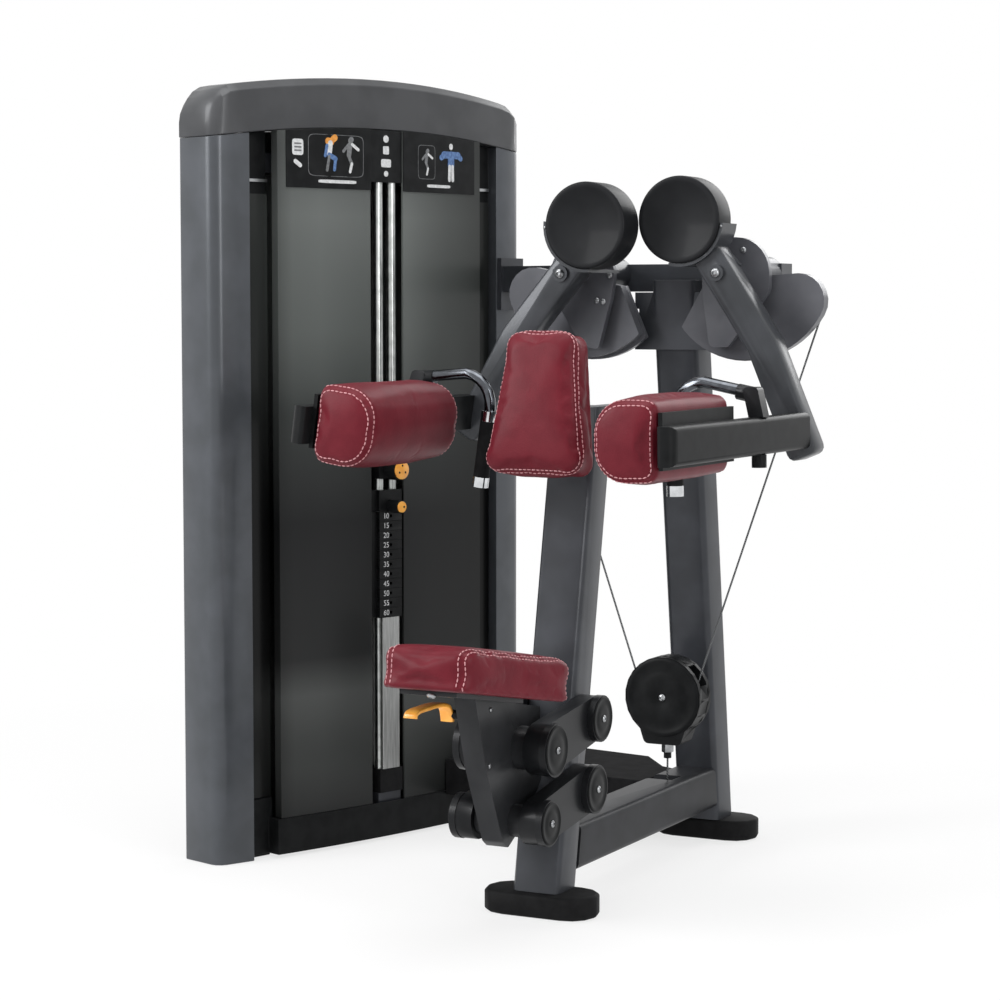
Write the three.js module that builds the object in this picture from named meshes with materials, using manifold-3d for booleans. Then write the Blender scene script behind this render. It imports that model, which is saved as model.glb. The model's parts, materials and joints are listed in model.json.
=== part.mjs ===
// Lateral raise machine with a selectorised weight stack: a bowed weight tower,
// a leaning seat frame, two swinging pad arms with counterweights, the steel
// cables between them, and a seat on a parallelogram link.
//
// Millimetres, +Z up, +X to the user's right, +Y the way the user faces.
// The origin is on the floor under the middle of the front foot.

import * as THREE from 'three';
import { mergeVertices } from 'three/addons/utils/BufferGeometryUtils.js';
import Module from 'manifold-3d';

const wasm = await Module();
wasm.setup();

// Clearances
const fit = 0.3;        // between pieces that touch
const running = 0.6;    // round a turning shaft or a sliding rod
const overrun = 12;     // how far a cutting tool passes a face
const weld = 1e-4;      // corners closer than this are one

// Facet counts
const roundSides = 24;
const discSides = 36;
const rodSides = 10;
const guideSides = 16;
const boreSides = 6;
const cordSides = 6;
const cornerSteps = 3;
const cushionSteps = 4;
const rollSteps = 5;
const bendSteps = 6;
const endBendSteps = 4;
const wheelBendSteps = 8;
const bowSteps = 8;
const coverSteps = 12;
const placardSteps = 4;
const capSteps = 28;
const archSteps = 14;
const cradleSteps = 12;
const camSteps = 20;
const linkSteps = 8;
const hubSteps = 7;
const rimSteps = 10;

// Weight tower, in its own turned group
const towerAngle = THREE.MathUtils.degToRad(72);
const towerNearX = -760;       // outer front corner of the near pillar
const towerNearY = 57;
const towerWidth = 874;
const towerBow = 32;           // how far the middle of the front stands out
const pillarWidth = 87;
const pillarDepth = 107;
const pillarFrontRadius = 26;
const pillarBackRadius = 6;
const capTop = 1607;
const capTopDrop = 36;         // fall of the top line to the ends
const capCorner = 54;
const capFrontRadius = 26;     // round the ends of the front, seen from above
const capHeight = 104;         // from its lower edge at the middle to its top
const capArch = capTop - capHeight;
const capArchDrop = 30;
const capBand = 15;            // bright chamfer along the top front edge
const capProud = 2;
const shroudThick = 5;
const shroudProud = 5;
const recessWidth = 63;        // open strip between pillar and shroud
const shroudOuter = towerWidth / 2 - pillarWidth - recessWidth;
const shroudReturn = 20;
const slotHalf = 46;           // half width of the slot between them
const baseCoverHeight = 80;
const shroudBottom = baseCoverHeight + fit;
const baseCoverLift = 6;
const baseCoverProud = 8;
const baseCoverOverlap = 10;   // its proud middle part runs past the shrouds
const baseCoverOuter = shroudOuter + baseCoverOverlap;
const wingHeight = 122;        // its set-back ends beside the pillars
const wingThick = 8;
const backThick = 5;
const placardThick = 2;
const placardHeight = 97;
const recessDepth = 14;        // recessed strip beside each pillar

// Weight stack
const stackX = 9;
const stackY = 12;             // cable line through the stack
const rodSpacing = 38;
const rodRadius = 11;
const rodY = -18;
const rodBottom = 62;
const plateCount = 11;
const plateHeight = 20;
const plateGap = 0.6;
const plateHalfWidth = 118;
const plateBack = 62;
const plateShoulder = -26;
const noseHalf = 32;
const noseFront = -36;
const stackBottom = 475;
const riserHalf = 24;
const riserThick = 6;
const bumperBottom = 100;
const bumperTop = 150;
const selectorBore = 8;
const pinRadius = 4.5;
const headPlateHeight = 45;
const stemRadius = 10;
const stemLength = 95;
const incrementLift = 24;      // free travel of the increment weight
const incrementHeight = 38;
const knobReach = 34;
const selectorKnobRadius = 14;
const incrementKnobRadius = 22;
const beamHeight = 40;
const beamDrop = 57;           // from the cap's lower edge to the top beam
const beamTop = capArch - beamDrop;

// Pulleys and cables
const cableRadius = 2;
const cordClearance = 1;       // between a cable's middle of a bend and its groove
const pulleyRadius = 46;       // cable centre line
const pulleyWidth = 17;
const pulleyRim = 6;
const axleRadius = 8;
const cheekThick = 5;
const footPulleyX = 232;       // in the tower group
const footPulleyY = 40;
const footPulleyZ = 128;
const floorPlateTop = 34;
const basePulleyRadius = 26;
const basePulleyZ = 108;

// Seat frame
const tubeWidth = 95;
const tubeDepth = 84;
const tubeCorner = 12;
const footLength = 226;
const footWidth = 110;
const footHeight = 43;
const footBevel = 6;
const footRelief = 3;          // straight left between the round ends
const columnFootY = -32.5;     // front face of the column at the foot's top
const columnLean = 0.185;      // run over rise
const columnTop = 945;
const columnBracket = 44;
const uprightFootY = 755.5;    // front face of the rear upright at the foot's top
const uprightLean = -0.1325;
const uprightTop = 1188;
const uprightDepth = 86;       // measured level
const beamBottom = 72;
const beamFloorTop = 157;
const chestBeamTop = 942;
const chestBeamHeight = 70;
const chestBeamWidth = 80;
const headHalf = 78;
const headDrop = 143;          // from the upright's top to the foot of its head bracket
const headBottom = uprightTop - headDrop;
const headHeight = 118;
const headDepth = 64;
const headStep = 9;
const headRibHeight = 34;
const rearFootY = 812;

// Crossbar that carries the arm pivots
const pivotX = 169;
const pivotLift = 12;          // these lifts and drops are from the upright's top
const pivotZ = uprightTop + pivotLift;
const crossbarDepth = 60;
const crossbarDrop = 23;
const crossbarLift = 34;
const crossbarBottom = uprightTop - crossbarDrop;
const crossbarTop = uprightTop + crossbarLift;
const crossbarEnd = 205;
const crossbarBend = 190;
const housingRadius = 36;
const housingFrontY = 604;
const flangeThick = 10;
const flangeDrop = 62;
const flangeLift = 52;
const flangeBottom = uprightTop - flangeDrop;
const flangeTop = uprightTop + flangeLift;
const flangeHalf = 40;

// Cover of the cable between the frame and the tower
const tieTop = 150;
const tieBottom = 72;
const tieWall = 6;
const tieNearY = 575;
const tieFarY = 742;
const tieRear = [[-81, 758], [-158, 858], [-325, 889]];
const tieOverlap = 64;         // how far it runs past the cable on the tower's front

// Arms, measured from the pivot; the first number points away from the middle
const restRight = THREE.MathUtils.degToRad(1);
const restLeft = THREE.MathUtils.degToRad(8);
const armFrontY = 430;
const armDepth = 60;
const armHalf = 31;
const armBendOut = 90;
const armBendDown = 142;
const armTipOut = 177;
const armTipDown = 362;
const armHeadUp = 52;          // how far the tube runs on past its pivot
const armBevel = 7;
const armHeadCorner = 14;
const armTipCorner = 16;
const discRightInboard = 72;
const discLeftInboard = 82;
const discUp = 106;
const discRadius = 86;
const discRightThick = 66;
const discLeftThick = 73;
const discBevel = 3;
const discRightFrontY = 411;
const discLeftFrontY = 335;
const cradleWall = 6;
const cradleHalfAngle = THREE.MathUtils.degToRad(50);
const spigotRadius = 32;
const spigotReach = 86;         // from the pivot, short enough for the other disc to pass
const boltRadius = 17;
const boltHead = 7;
const shaftRadius = 17;
const shaftEndY = 688;
const hubFrontY = 530;
const hubThick = 15;
const hubRadius = 72;
const hubTipInboard = 38;
const hubTipDown = 147;
const hubTipHalf = 20;
const camFrontY = 560;
const camThick = 24;
const camRimThick = 14;
const camPlateRadius = 183;
const camPlateOut = 12;        // the plate's own middle, from the pivot
const camPlateUp = 10;
const camTopDrop = 2;
const camInnerDrop = 13;
const camInnerAngle = THREE.MathUtils.degToRad(-141);
const camCableRadius = 178;
const camRound = 55;
const anchorAngle = THREE.MathUtils.degToRad(-16);

// Arm pads and their beams
const padOut = 89;
const padDown = 301;
const padHalfWidth = 61;
const padHalfHeight = 74.5;
const padFrontY = -228;
const padLength = 358;
const padInnerRadius = 60;
const padOuterRadius = 24;
const padEdge = 15;
const padCrown = 4;
const endShares = [0.2, 0.6];  // rings over the padded end
const bellyShares = [-0.45, 0, 0.45];
const boardThick = 8;
const padBeamWidth = 32;
const padBeamHeight = 70;
const padBeamFrontY = -242;
const padBeamNose = 24;
const padBeamRound = 10;

// Handles, measured from the pivot as well
const handleY = 200;
const handleTube = 11;
const handleBend = 60;
const handleTopDown = 220;
const handleRise = 12;
const handleGripOut = 6;
const gripTopDown = 294;
const gripLength = 110;
const gripRadius = 16;
const collarHeight = 20;
const clampHeight = 56;
const clampHalf = 15;
const clampLean = 12;
const ringRadius = 15;
const ringLength = 14;
const knobRadius = 14;
const knobHeight = 24;

// Floating pulley
const floatY = 593;
const floatZ = 330;
const floatRadius = 53;
const floatWidth = 20;
const coverRadius = 84;
const coverThick = 12;
const coverGapHalf = 17;
const coverRim = 7;
const rimOpenFrom = THREE.MathUtils.degToRad(18);   // where the arms' cables come in
const rimOpenTo = THREE.MathUtils.degToRad(52);
const yokeCorner = 12;
const yokeHalf = 40;
const yokeBottom = 232;
const hangerRadius = 8;
const hangerBottom = 200;
const cableEndAngle = 0.02;    // from the wheel's foot to the end of each arm's cable

// Chest pad
const chestTopHalf = 67;
const chestBottomHalf = 101;
const chestLength = 266;
const chestThick = 78;
const chestY = 0;
const chestZ = 955;
const chestLean = THREE.MathUtils.degToRad(9.1);
const chestCorner = 26;
const cushionEdge = 16;
const cushionCrown = 6;
const cushionDraw = 3;

// Seat
const seatRearHalf = 85;
const seatFrontHalf = 150;
const seatLength = 318;
const seatThick = 78;
const seatY = -309;
const seatZ = 494;
const seatTilt = THREE.MathUtils.degToRad(-10);
const seatCorner = 30;
const seatBoard = 8;

// Seat linkage
const upperColumnY = 66;
const upperColumnZ = 364;
const lowerColumnY = 43;
const lowerColumnZ = 234;
const linkReach = 198;
const linkDrop = 30;
const linkThick = 33;
const upperColumnCap = 44;
const upperCarriageCap = 49;
const lowerColumnCap = 46;
const lowerCarriageCap = 42;
const capThick = 13;
const linkPin = 14;
const carriageHalf = 21;
const barrelRadius = 40;
const lowerBarrelRadius = 30;
const leverHalf = 13;
const leverThick = 9;
const leverReach = 158;
const leverX = -52;
const leverPivotY = -285;
const leverPivotZ = 414;
const carriageProfile = [      // seen from the side: y, z and corner radius
  [-311, 448], [-268, 313], [-203, 172, 12], [-183, 158, 8], [-112, 196], [-46, 262],
  [-52, 398], [-218, 431],
];

// Colours
const frameGrey = 0x4a4c51;
const capGrey = 0x37393d;
const shroudTint = 0x2a2d2d;
const blackPlastic = 0x1b1c1e;
const vinylRed = 0x74262f;
const orange = 0xf0a030;
const steel = 0xc4c6c8;
const rubber = 0x161617;
const plateSteel = 0x26272a;

const machine = new THREE.Group();

function material(color, roughness, metalness) {
  return new THREE.MeshStandardMaterial({ color, roughness, metalness });
}

function add(parent, name, geometry, finish) {
  const mesh = new THREE.Mesh(geometry, finish);
  mesh.name = name;
  parent.add(mesh);
  return mesh;
}

const paint = () => material(frameGrey, 0.42, 0.35);
const satinCap = () => material(capGrey, 0.5, 0.25);
const plastic = () => material(blackPlastic, 0.55, 0);
const vinyl = () => material(vinylRed, 0.6, 0);
const chrome = () => material(steel, 0.2, 1);
const bright = () => material(orange, 0.4, 0);

// Solids: joining and cutting closed geometries
function solid(geometry) {
  const bare = geometry.clone();
  bare.deleteAttribute('normal');
  bare.deleteAttribute('uv');
  const merged = mergeVertices(bare, weld);
  const mesh = new wasm.Mesh({
    numProp: 3,
    vertProperties: Float32Array.from(merged.attributes.position.array),
    triVerts: Uint32Array.from(merged.index.array),
  });
  return new wasm.Manifold(mesh);
}

function shell(manifold) {
  const mesh = manifold.getMesh();
  const geometry = new THREE.BufferGeometry();
  geometry.setAttribute('position', new THREE.BufferAttribute(mesh.vertProperties, 3));
  geometry.setIndex(new THREE.BufferAttribute(mesh.triVerts, 1));
  return geometry;
}

function joined(first, ...others) {
  return shell(others.reduce((sum, next) => sum.add(solid(next)), solid(first)));
}

function cut(first, ...tools) {
  return shell(tools.reduce((rest, tool) => rest.subtract(solid(tool)), solid(first)));
}

function common(first, second) {
  return shell(solid(first).intersect(solid(second)));
}

// Outlines: corners are [a, b, radius]
function outline(corners, steps = cornerSteps) {
  const points = [];
  corners.forEach(([a, b, radius = 0], index) => {
    const here = new THREE.Vector2(a, b);
    if (radius === 0) {
      points.push(here);
      return;
    }
    const [beforeA, beforeB] = corners[(index + corners.length - 1) % corners.length];
    const [afterA, afterB] = corners[(index + 1) % corners.length];
    const toBefore = new THREE.Vector2(beforeA, beforeB).sub(here).normalize();
    const toAfter = new THREE.Vector2(afterA, afterB).sub(here).normalize();
    const half = Math.acos(toBefore.dot(toAfter)) / 2;
    const middle = toBefore.clone().add(toAfter).normalize();
    const centre = here.clone().addScaledVector(middle, radius / Math.sin(half));
    const start = here.clone().addScaledVector(toBefore, radius / Math.tan(half)).sub(centre);
    const end = here.clone().addScaledVector(toAfter, radius / Math.tan(half)).sub(centre);
    const sweep = Math.atan2(start.cross(end), start.dot(end));
    for (let step = 0; step <= steps; step += 1) {
      const turned = start.clone().rotateAround(new THREE.Vector2(), sweep * step / steps);
      points.push(turned.add(centre));
    }
  });
  return points;
}

function circle(a, b, radius, sides = roundSides) {
  const points = [];
  for (let side = 0; side < sides; side += 1) {
    const angle = 2 * Math.PI * (side + 0.5) / sides;
    points.push(new THREE.Vector2(a + radius * Math.cos(angle), b + radius * Math.sin(angle)));
  }
  return points;
}

function arc(a, b, radius, from, to, steps) {
  const points = [];
  for (let step = 0; step <= steps; step += 1) {
    const angle = from + (to - from) * step / steps;
    points.push(new THREE.Vector2(a + radius * Math.cos(angle), b + radius * Math.sin(angle)));
  }
  return points;
}

function rectangle(a0, a1, b0, b1, radius = 0) {
  return outline([[a0, b0, radius], [a1, b0, radius], [a1, b1, radius], [a0, b1, radius]]);
}

// Prisms along the three axes
function prism(points, depth, holes, bevel) {
  const shape = new THREE.Shape(points);
  holes.forEach((hole) => shape.holes.push(new THREE.Path(hole)));
  const geometry = new THREE.ExtrudeGeometry(shape, {
    depth: depth - 2 * bevel,
    steps: 1,
    bevelEnabled: bevel > 0,
    bevelThickness: bevel,
    bevelSize: bevel,
    bevelOffset: -bevel,
    bevelSegments: 2,
  });
  return geometry.translate(0, 0, bevel);
}

function turned(geometry, right, up, out, place) {
  const matrix = new THREE.Matrix4().makeBasis(right, up, out);
  return geometry.applyMatrix4(matrix.setPosition(place));
}

const axisX = new THREE.Vector3(1, 0, 0);
const axisY = new THREE.Vector3(0, 1, 0);
const axisZ = new THREE.Vector3(0, 0, 1);
const backY = new THREE.Vector3(0, -1, 0);

function alongX(points, from, to, { holes = [], bevel = 0 } = {}) {
  return turned(prism(points, to - from, holes, bevel), axisY, axisZ, axisX, new THREE.Vector3(from, 0, 0));
}

function alongY(points, from, to, { holes = [], bevel = 0 } = {}) {
  return turned(prism(points, to - from, holes, bevel), axisX, axisZ, backY, new THREE.Vector3(0, to, 0));
}

function alongZ(points, from, to, { holes = [], bevel = 0 } = {}) {
  return prism(points, to - from, holes, bevel).translate(0, 0, from);
}

function block(x0, x1, y0, y1, z0, z1) {
  return alongZ(rectangle(x0, x1, y0, y1), z0, z1);
}

// A straight rod between two points
function rod(from, to, radius, sides = rodSides) {
  const start = new THREE.Vector3(...from);
  const end = new THREE.Vector3(...to);
  const length = start.distanceTo(end);
  const geometry = new THREE.CylinderGeometry(radius, radius, length, sides);
  const along = end.clone().sub(start).normalize();
  geometry.applyQuaternion(new THREE.Quaternion().setFromUnitVectors(axisY, along));
  const middle = start.add(end).multiplyScalar(0.5);
  return geometry.translate(middle.x, middle.y, middle.z);
}

// A chain of points that a tube follows exactly
class Route extends THREE.Curve {
  constructor(points) {
    super();
    this.points = points.map((point) => new THREE.Vector3(...point));
  }

  getPoint(t, target = new THREE.Vector3()) {
    const last = this.points.length - 1;
    const place = t * last;
    const index = Math.min(Math.floor(place), last - 1);
    return target.lerpVectors(this.points[index], this.points[index + 1], place - index);
  }

  getPointAt(u, target) {
    return this.getPoint(u, target);
  }

  getTangentAt(u, target = new THREE.Vector3()) {
    const last = this.points.length - 1;
    const index = Math.round(u * last);
    const before = this.points[Math.max(index - 1, 0)];
    const after = this.points[Math.min(index + 1, last)];
    const here = this.points[index];
    const arriving = here.clone().sub(before).normalize();
    const leaving = after.clone().sub(here).normalize();
    return target.addVectors(arriving, leaving).normalize();
  }
}

function tube(points, radius, sides) {
  const section = new THREE.Shape(circle(0, 0, radius, sides));
  return new THREE.ExtrudeGeometry(section, {
    steps: points.length - 1,
    extrudePath: new Route(points),
    bevelEnabled: false,
  });
}

// Points of a round bend in the plane of two directions
function bend(centre, first, second, radius, from, to, steps) {
  const points = [];
  for (let step = 0; step <= steps; step += 1) {
    const angle = from + (to - from) * step / steps;
    const point = centre.clone().addScaledVector(first, radius * Math.cos(angle));
    points.push(point.addScaledVector(second, radius * Math.sin(angle)).toArray());
  }
  return points;
}

// A closed skin through rings of points, with a fan over each end
function loft(rings) {
  const count = rings[0].length;
  const positions = [];
  rings.forEach((ring) => ring.forEach((point) => positions.push(point.x, point.y, point.z)));
  const index = [];
  for (let row = 0; row + 1 < rings.length; row += 1) {
    for (let column = 0; column < count; column += 1) {
      const next = (column + 1) % count;
      const a = row * count + column;
      const b = row * count + next;
      index.push(a, b, b + count, a, b + count, a + count);
    }
  }
  [0, rings.length - 1].forEach((row) => {
    const centre = rings[row].reduce((sum, point) => sum.add(point), new THREE.Vector3());
    centre.divideScalar(count);
    const middle = positions.length / 3;
    positions.push(centre.x, centre.y, centre.z);
    for (let column = 0; column < count; column += 1) {
      const a = row * count + column;
      const b = row * count + (column + 1) % count;
      index.push(...(row === 0 ? [middle, b, a] : [middle, a, b]));
    }
  });
  const geometry = new THREE.BufferGeometry();
  geometry.setAttribute('position', new THREE.Float32BufferAttribute(positions, 3));
  geometry.setIndex(signedVolume(positions, index) < 0 ? index.reverse() : index);
  return geometry;
}

function signedVolume(positions, index) {
  const corner = (at) => new THREE.Vector3(...positions.slice(3 * at, 3 * at + 3));
  let volume = 0;
  for (let at = 0; at < index.length; at += 3) {
    const [a, b, c] = [corner(index[at]), corner(index[at + 1]), corner(index[at + 2])];
    volume += a.dot(b.cross(c));
  }
  return volume;
}

// A cushion on its back at height zero: crowned top, rolled edges, drawn-in sides
function cushion(corners, thickness, crown, edge, draw) {
  const rim = outline(corners, cushionSteps);
  const ring = (inset, height, shrink = 1) => rim.map((point) => {
    const radial = point.clone().multiplyScalar(shrink * (1 - inset / point.length()));
    return new THREE.Vector3(radial.x, radial.y, height);
  });
  const rings = [ring(edge / 2, 0), ring(0, edge / 2)];
  const sideSteps = cushionSteps;
  const sideHeight = thickness - crown - edge;
  for (let step = 1; step <= sideSteps; step += 1) {
    const share = step / sideSteps;
    const height = edge / 2 + (sideHeight - edge / 2) * share;
    rings.push(ring(draw * Math.sin(Math.PI * share), height));
  }
  const edgeSteps = cornerSteps;
  for (let step = 1; step <= edgeSteps; step += 1) {
    const angle = Math.PI / 2 * step / edgeSteps;
    rings.push(ring(edge * (1 - Math.cos(angle)), sideHeight + edge * Math.sin(angle)));
  }
  const crownShares = [0.86, 0.66, 0.42, 0.18];
  crownShares.forEach((share) => {
    rings.push(ring(edge, sideHeight + edge + crown * (1 - share * share), share));
  });
  return loft(rings);
}

// A grooved pulley; its axle lies along the first local axis
function pulley(radius, width, bore) {
  const rim = radius + pulleyRim;
  const bed = radius - cableRadius - cordClearance;
  const half = width / 2;
  const groove = cableRadius + fit;
  const profile = [
    [bore, -half], [rim, -half], [rim, -half + fit], [bed, -groove], [bed, groove],
    [rim, half - fit], [rim, half], [bore, half], [bore, -half],
  ].map(([across, along]) => new THREE.Vector2(across, along));
  return new THREE.LatheGeometry(profile, roundSides).rotateZ(-Math.PI / 2);
}

// Places a mesh so that its first local axis points along a level direction
function aimed(mesh, centre, direction) {
  mesh.position.copy(centre);
  mesh.rotation.z = Math.atan2(direction.y, direction.x);
  return mesh;
}

// Tower frame: local +x along the front, local -y out of the front
const halfTower = towerWidth / 2;
const bowRadius = (halfTower ** 2 + towerBow ** 2) / (2 * towerBow);
const tower = new THREE.Group();
tower.position.set(
  towerNearX + halfTower * Math.cos(towerAngle),
  towerNearY + halfTower * Math.sin(towerAngle),
  0,
);
tower.rotation.z = towerAngle;
machine.add(tower);
tower.updateMatrixWorld(true);

const fromTower = (x, y, z) => new THREE.Vector3(x, y, z).applyMatrix4(tower.matrixWorld);
const frontY = (x) => bowRadius - towerBow - Math.sqrt(bowRadius ** 2 - x ** 2);
const archZ = (x) => capArch - capArchDrop * (x / halfTower) ** 2;

// Points along the bowed front, moved out by a distance
function bowPoints(from, to, proud, steps) {
  const points = [];
  for (let step = 0; step <= steps; step += 1) {
    const x = from + (to - from) * step / steps;
    points.push(new THREE.Vector2(x, frontY(x) - proud));
  }
  return points;
}

function bowStrip(from, to, proud, thickness, steps) {
  const front = bowPoints(from, to, proud, steps);
  const back = bowPoints(from, to, proud - thickness, steps).reverse();
  return front.concat(back);
}

// Everything above the cap's lower arch, less a clearance
function aboveArch(clearance) {
  const points = [];
  const reach = halfTower + overrun;
  for (let step = 0; step <= archSteps; step += 1) {
    const x = -reach + 2 * reach * step / archSteps;
    points.push(new THREE.Vector2(x, archZ(x) - clearance));
  }
  points.push(new THREE.Vector2(reach, capTop + overrun));
  points.push(new THREE.Vector2(-reach, capTop + overrun));
  return alongY(points, -pillarDepth, 2 * pillarDepth);
}

const innerPillar = halfTower - pillarWidth;

function pillar(side) {
  const outer = halfTower * side;
  const inner = innerPillar * side;
  const strip = (shroudOuter + fit) * side;
  const stripFront = recessDepth;
  const section = outline([
    [inner, frontY(inner)],
    [outer, 0, pillarFrontRadius],
    [outer, pillarDepth, pillarBackRadius],
    [inner, pillarDepth],
    [inner, stripFront + shroudThick],
    [strip, stripFront + shroudThick],
    [strip, stripFront],
    [inner, stripFront],
  ]);
  return cut(alongZ(section, 0, capArch), aboveArch(fit));
}

function towerCap() {
  const rings = [];
  const back = pillarDepth;
  for (let step = 0; step <= capSteps; step += 1) {
    // wide steps along the middle, closer ones round the end corners
    const angle = Math.PI * (step / capSteps - 1 / 2);
    const x = halfTower * Math.sin(angle);
    const fromEnd = Math.max(0, capCorner - (halfTower - Math.abs(x)));
    const cornerFall = capCorner - Math.sqrt(Math.max(0, capCorner ** 2 - fromEnd ** 2));
    const top = capTop - capTopDrop * (x / halfTower) ** 2 - Math.min(cornerFall, capCorner);
    const bottom = archZ(x);
    const upper = Math.max(top, bottom + capBand);
    const fromSide = Math.max(0, capFrontRadius - (halfTower - Math.abs(x)));
    const cornerBack = capFrontRadius - Math.sqrt(capFrontRadius ** 2 - fromSide ** 2);
    const front = frontY(x) - capProud + cornerBack;
    rings.push([
      new THREE.Vector3(x, front, bottom),
      new THREE.Vector3(x, front, upper - capBand),
      new THREE.Vector3(x, front + capBand, upper),
      new THREE.Vector3(x, back - capBand, upper),
      new THREE.Vector3(x, back, upper - capBand),
      new THREE.Vector3(x, back, bottom),
    ]);
  }
  return loft(rings);
}

function shroud(side) {
  const strip = bowStrip(slotHalf * side, shroudOuter * side, shroudProud, shroudThick, bowSteps);
  const outerFront = frontY(shroudOuter) - shroudProud;
  const returnLip = rectangle(
    Math.min(shroudOuter * side, (shroudOuter - shroudThick) * side),
    Math.max(shroudOuter * side, (shroudOuter - shroudThick) * side),
    outerFront + shroudThick / 2,
    outerFront + shroudReturn,
  );
  const panel = alongZ(strip, shroudBottom, capArch);
  const lip = alongZ(returnLip, shroudBottom, capArch);
  return cut(joined(panel, lip), aboveArch(fit), cableSlot());
}

function placard(from, to) {
  const proud = shroudProud + placardThick + fit;
  const strip = bowStrip(from, to, proud, placardThick, placardSteps);
  const sheet = alongZ(strip, capArch - placardHeight - capArchDrop, capArch);
  return cut(sheet, aboveArch(2 * fit));
}

function baseCover() {
  const end = innerPillar - fit;
  const strip = bowStrip(-baseCoverOuter, baseCoverOuter, baseCoverProud, shroudThick, coverSteps);
  const wall = alongZ(strip, baseCoverLift, baseCoverHeight);
  const wingBack = recessDepth - fit;
  const wings = [-1, 1].map((side) => {
    const inner = side * (shroudOuter + 2 * fit);
    const wing = block(
      Math.min(inner, side * end), Math.max(inner, side * end), wingBack - wingThick, wingBack,
      baseCoverLift, wingHeight,
    );
    const lip = block(
      Math.min(inner, side * baseCoverOuter), Math.max(inner, side * baseCoverOuter),
      frontY(baseCoverOuter) - baseCoverProud + fit, wingBack, baseCoverLift, baseCoverHeight,
    );
    return joined(wing, lip);
  });
  return cut(joined(wall, ...wings), cableSlot());
}

// The way of the cable through the base cover and the foot of the shroud
function cableSlot() {
  const cableZ = footPulleyZ - pulleyRadius;
  return block(
    footPulleyX - pulleyWidth, footPulleyX + pulleyWidth,
    -towerBow - baseCoverProud - overrun, recessDepth, cableZ - overrun, cableZ + overrun,
  );
}

const rodX = [stackX - rodSpacing / 2, stackX + rodSpacing / 2];
const rodTop = beamTop - fit;
const beamBase = beamTop - beamHeight;

// Inner frame: the floor plate and the top beam between the pillars
function floorPlate() {
  const plate = block(
    -innerPillar + fit, innerPillar - fit,
    recessDepth + shroudThick + fit, pillarDepth - backThick - fit,
    baseCoverLift, floorPlateTop,
  );
  const footBase = floorPlateTop - baseCoverLift;
  const cheekX = footPulleyX + pulleyWidth / 2 + running;
  const mirrored = 2 * footPulleyX - cheekX;
  const cheeks = [cheekX, mirrored - cheekThick].map((x) => block(
    x, x + cheekThick, footPulleyY - overrun, footPulleyY + overrun, footBase, footPulleyZ + overrun,
  ));
  cheeks.push(rod(
    [mirrored - cheekThick / 2, footPulleyY, footPulleyZ],
    [cheekX + cheekThick / 2, footPulleyY, footPulleyZ],
    axleRadius,
  ));
  const seat = block(
    stackX - noseHalf, stackX + noseHalf, noseFront + riserThick, plateBack,
    footBase, bumperBottom - fit,
  );
  const sockets = rodX.map((x) => rod(
    [x, rodY, rodBottom], [x, rodY, bumperBottom + overrun], rodRadius + fit, guideSides,
  ));
  return cut(joined(plate, seat, ...cheeks), ...sockets);
}

// The two top pulleys share an upright plane from the outer run to the stack
const outerRun = new THREE.Vector2(footPulleyX, footPulleyY + pulleyRadius);
const stackRun = new THREE.Vector2(stackX, stackY);
const topAlong = stackRun.clone().sub(outerRun).normalize();
const outerTop = outerRun.clone().addScaledVector(topAlong, pulleyRadius);
const innerTop = stackRun.clone().addScaledVector(topAlong, -pulleyRadius);
const topPulleyZ = beamBase - pulleyRadius - 2 * pulleyRim;

// An upright cheek plate pair and axle under the top beam, for one pulley
function hanger(centre) {
  const across = new THREE.Vector2(-topAlong.y, topAlong.x);
  const offset = pulleyWidth / 2 + running;
  const parts = [-1, 1].map((side) => {
    const from = centre.clone().addScaledVector(across, side * offset);
    const to = centre.clone().addScaledVector(across, side * (offset + cheekThick));
    const plate = alongZ([
      from.clone().addScaledVector(topAlong, -overrun),
      from.clone().addScaledVector(topAlong, overrun),
      to.clone().addScaledVector(topAlong, overrun),
      to.clone().addScaledVector(topAlong, -overrun),
    ], topPulleyZ - overrun, beamBase + overrun);
    return plate;
  });
  const near = centre.clone().addScaledVector(across, -offset - cheekThick / 2);
  const far = centre.clone().addScaledVector(across, offset + cheekThick / 2);
  parts.push(rod([near.x, near.y, topPulleyZ], [far.x, far.y, topPulleyZ], axleRadius));
  return parts;
}

function topBeam() {
  const beam = block(
    -innerPillar + fit, innerPillar - fit,
    recessDepth + shroudThick + fit, pillarDepth - backThick - fit, beamBase, beamTop,
  );
  const nose = block(
    stackX - noseHalf, stackX + noseHalf, noseFront + riserThick, plateBack, beamBase, beamTop,
  );
  const sockets = rodX.map((x) => rod(
    [x, rodY, beamBase - overrun], [x, rodY, beamTop + overrun], rodRadius + fit, guideSides,
  ));
  return cut(joined(beam, nose, ...hanger(outerTop), ...hanger(innerTop)), ...sockets);
}

function plateOutline() {
  return [
    [stackX - plateHalfWidth, plateShoulder], [stackX - noseHalf, plateShoulder],
    [stackX - noseHalf, noseFront], [stackX + noseHalf, noseFront],
    [stackX + noseHalf, plateShoulder], [stackX + plateHalfWidth, plateShoulder],
    [stackX + plateHalfWidth, plateBack], [stackX - plateHalfWidth, plateBack],
  ].map(([x, y]) => new THREE.Vector2(x, y));
}

const plateBores = () => rodX.map((x) => circle(x, rodY, rodRadius + running, guideSides));
const platePitch = plateHeight + plateGap;
const stackTop = stackBottom + plateCount * platePitch;
const pinZ = stackTop + plateHeight / 2;
const headBase = stackTop;
const headTop = headBase + headPlateHeight;
const stemTop = headTop + stemLength;
const incrementBase = headTop + incrementLift;

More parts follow.
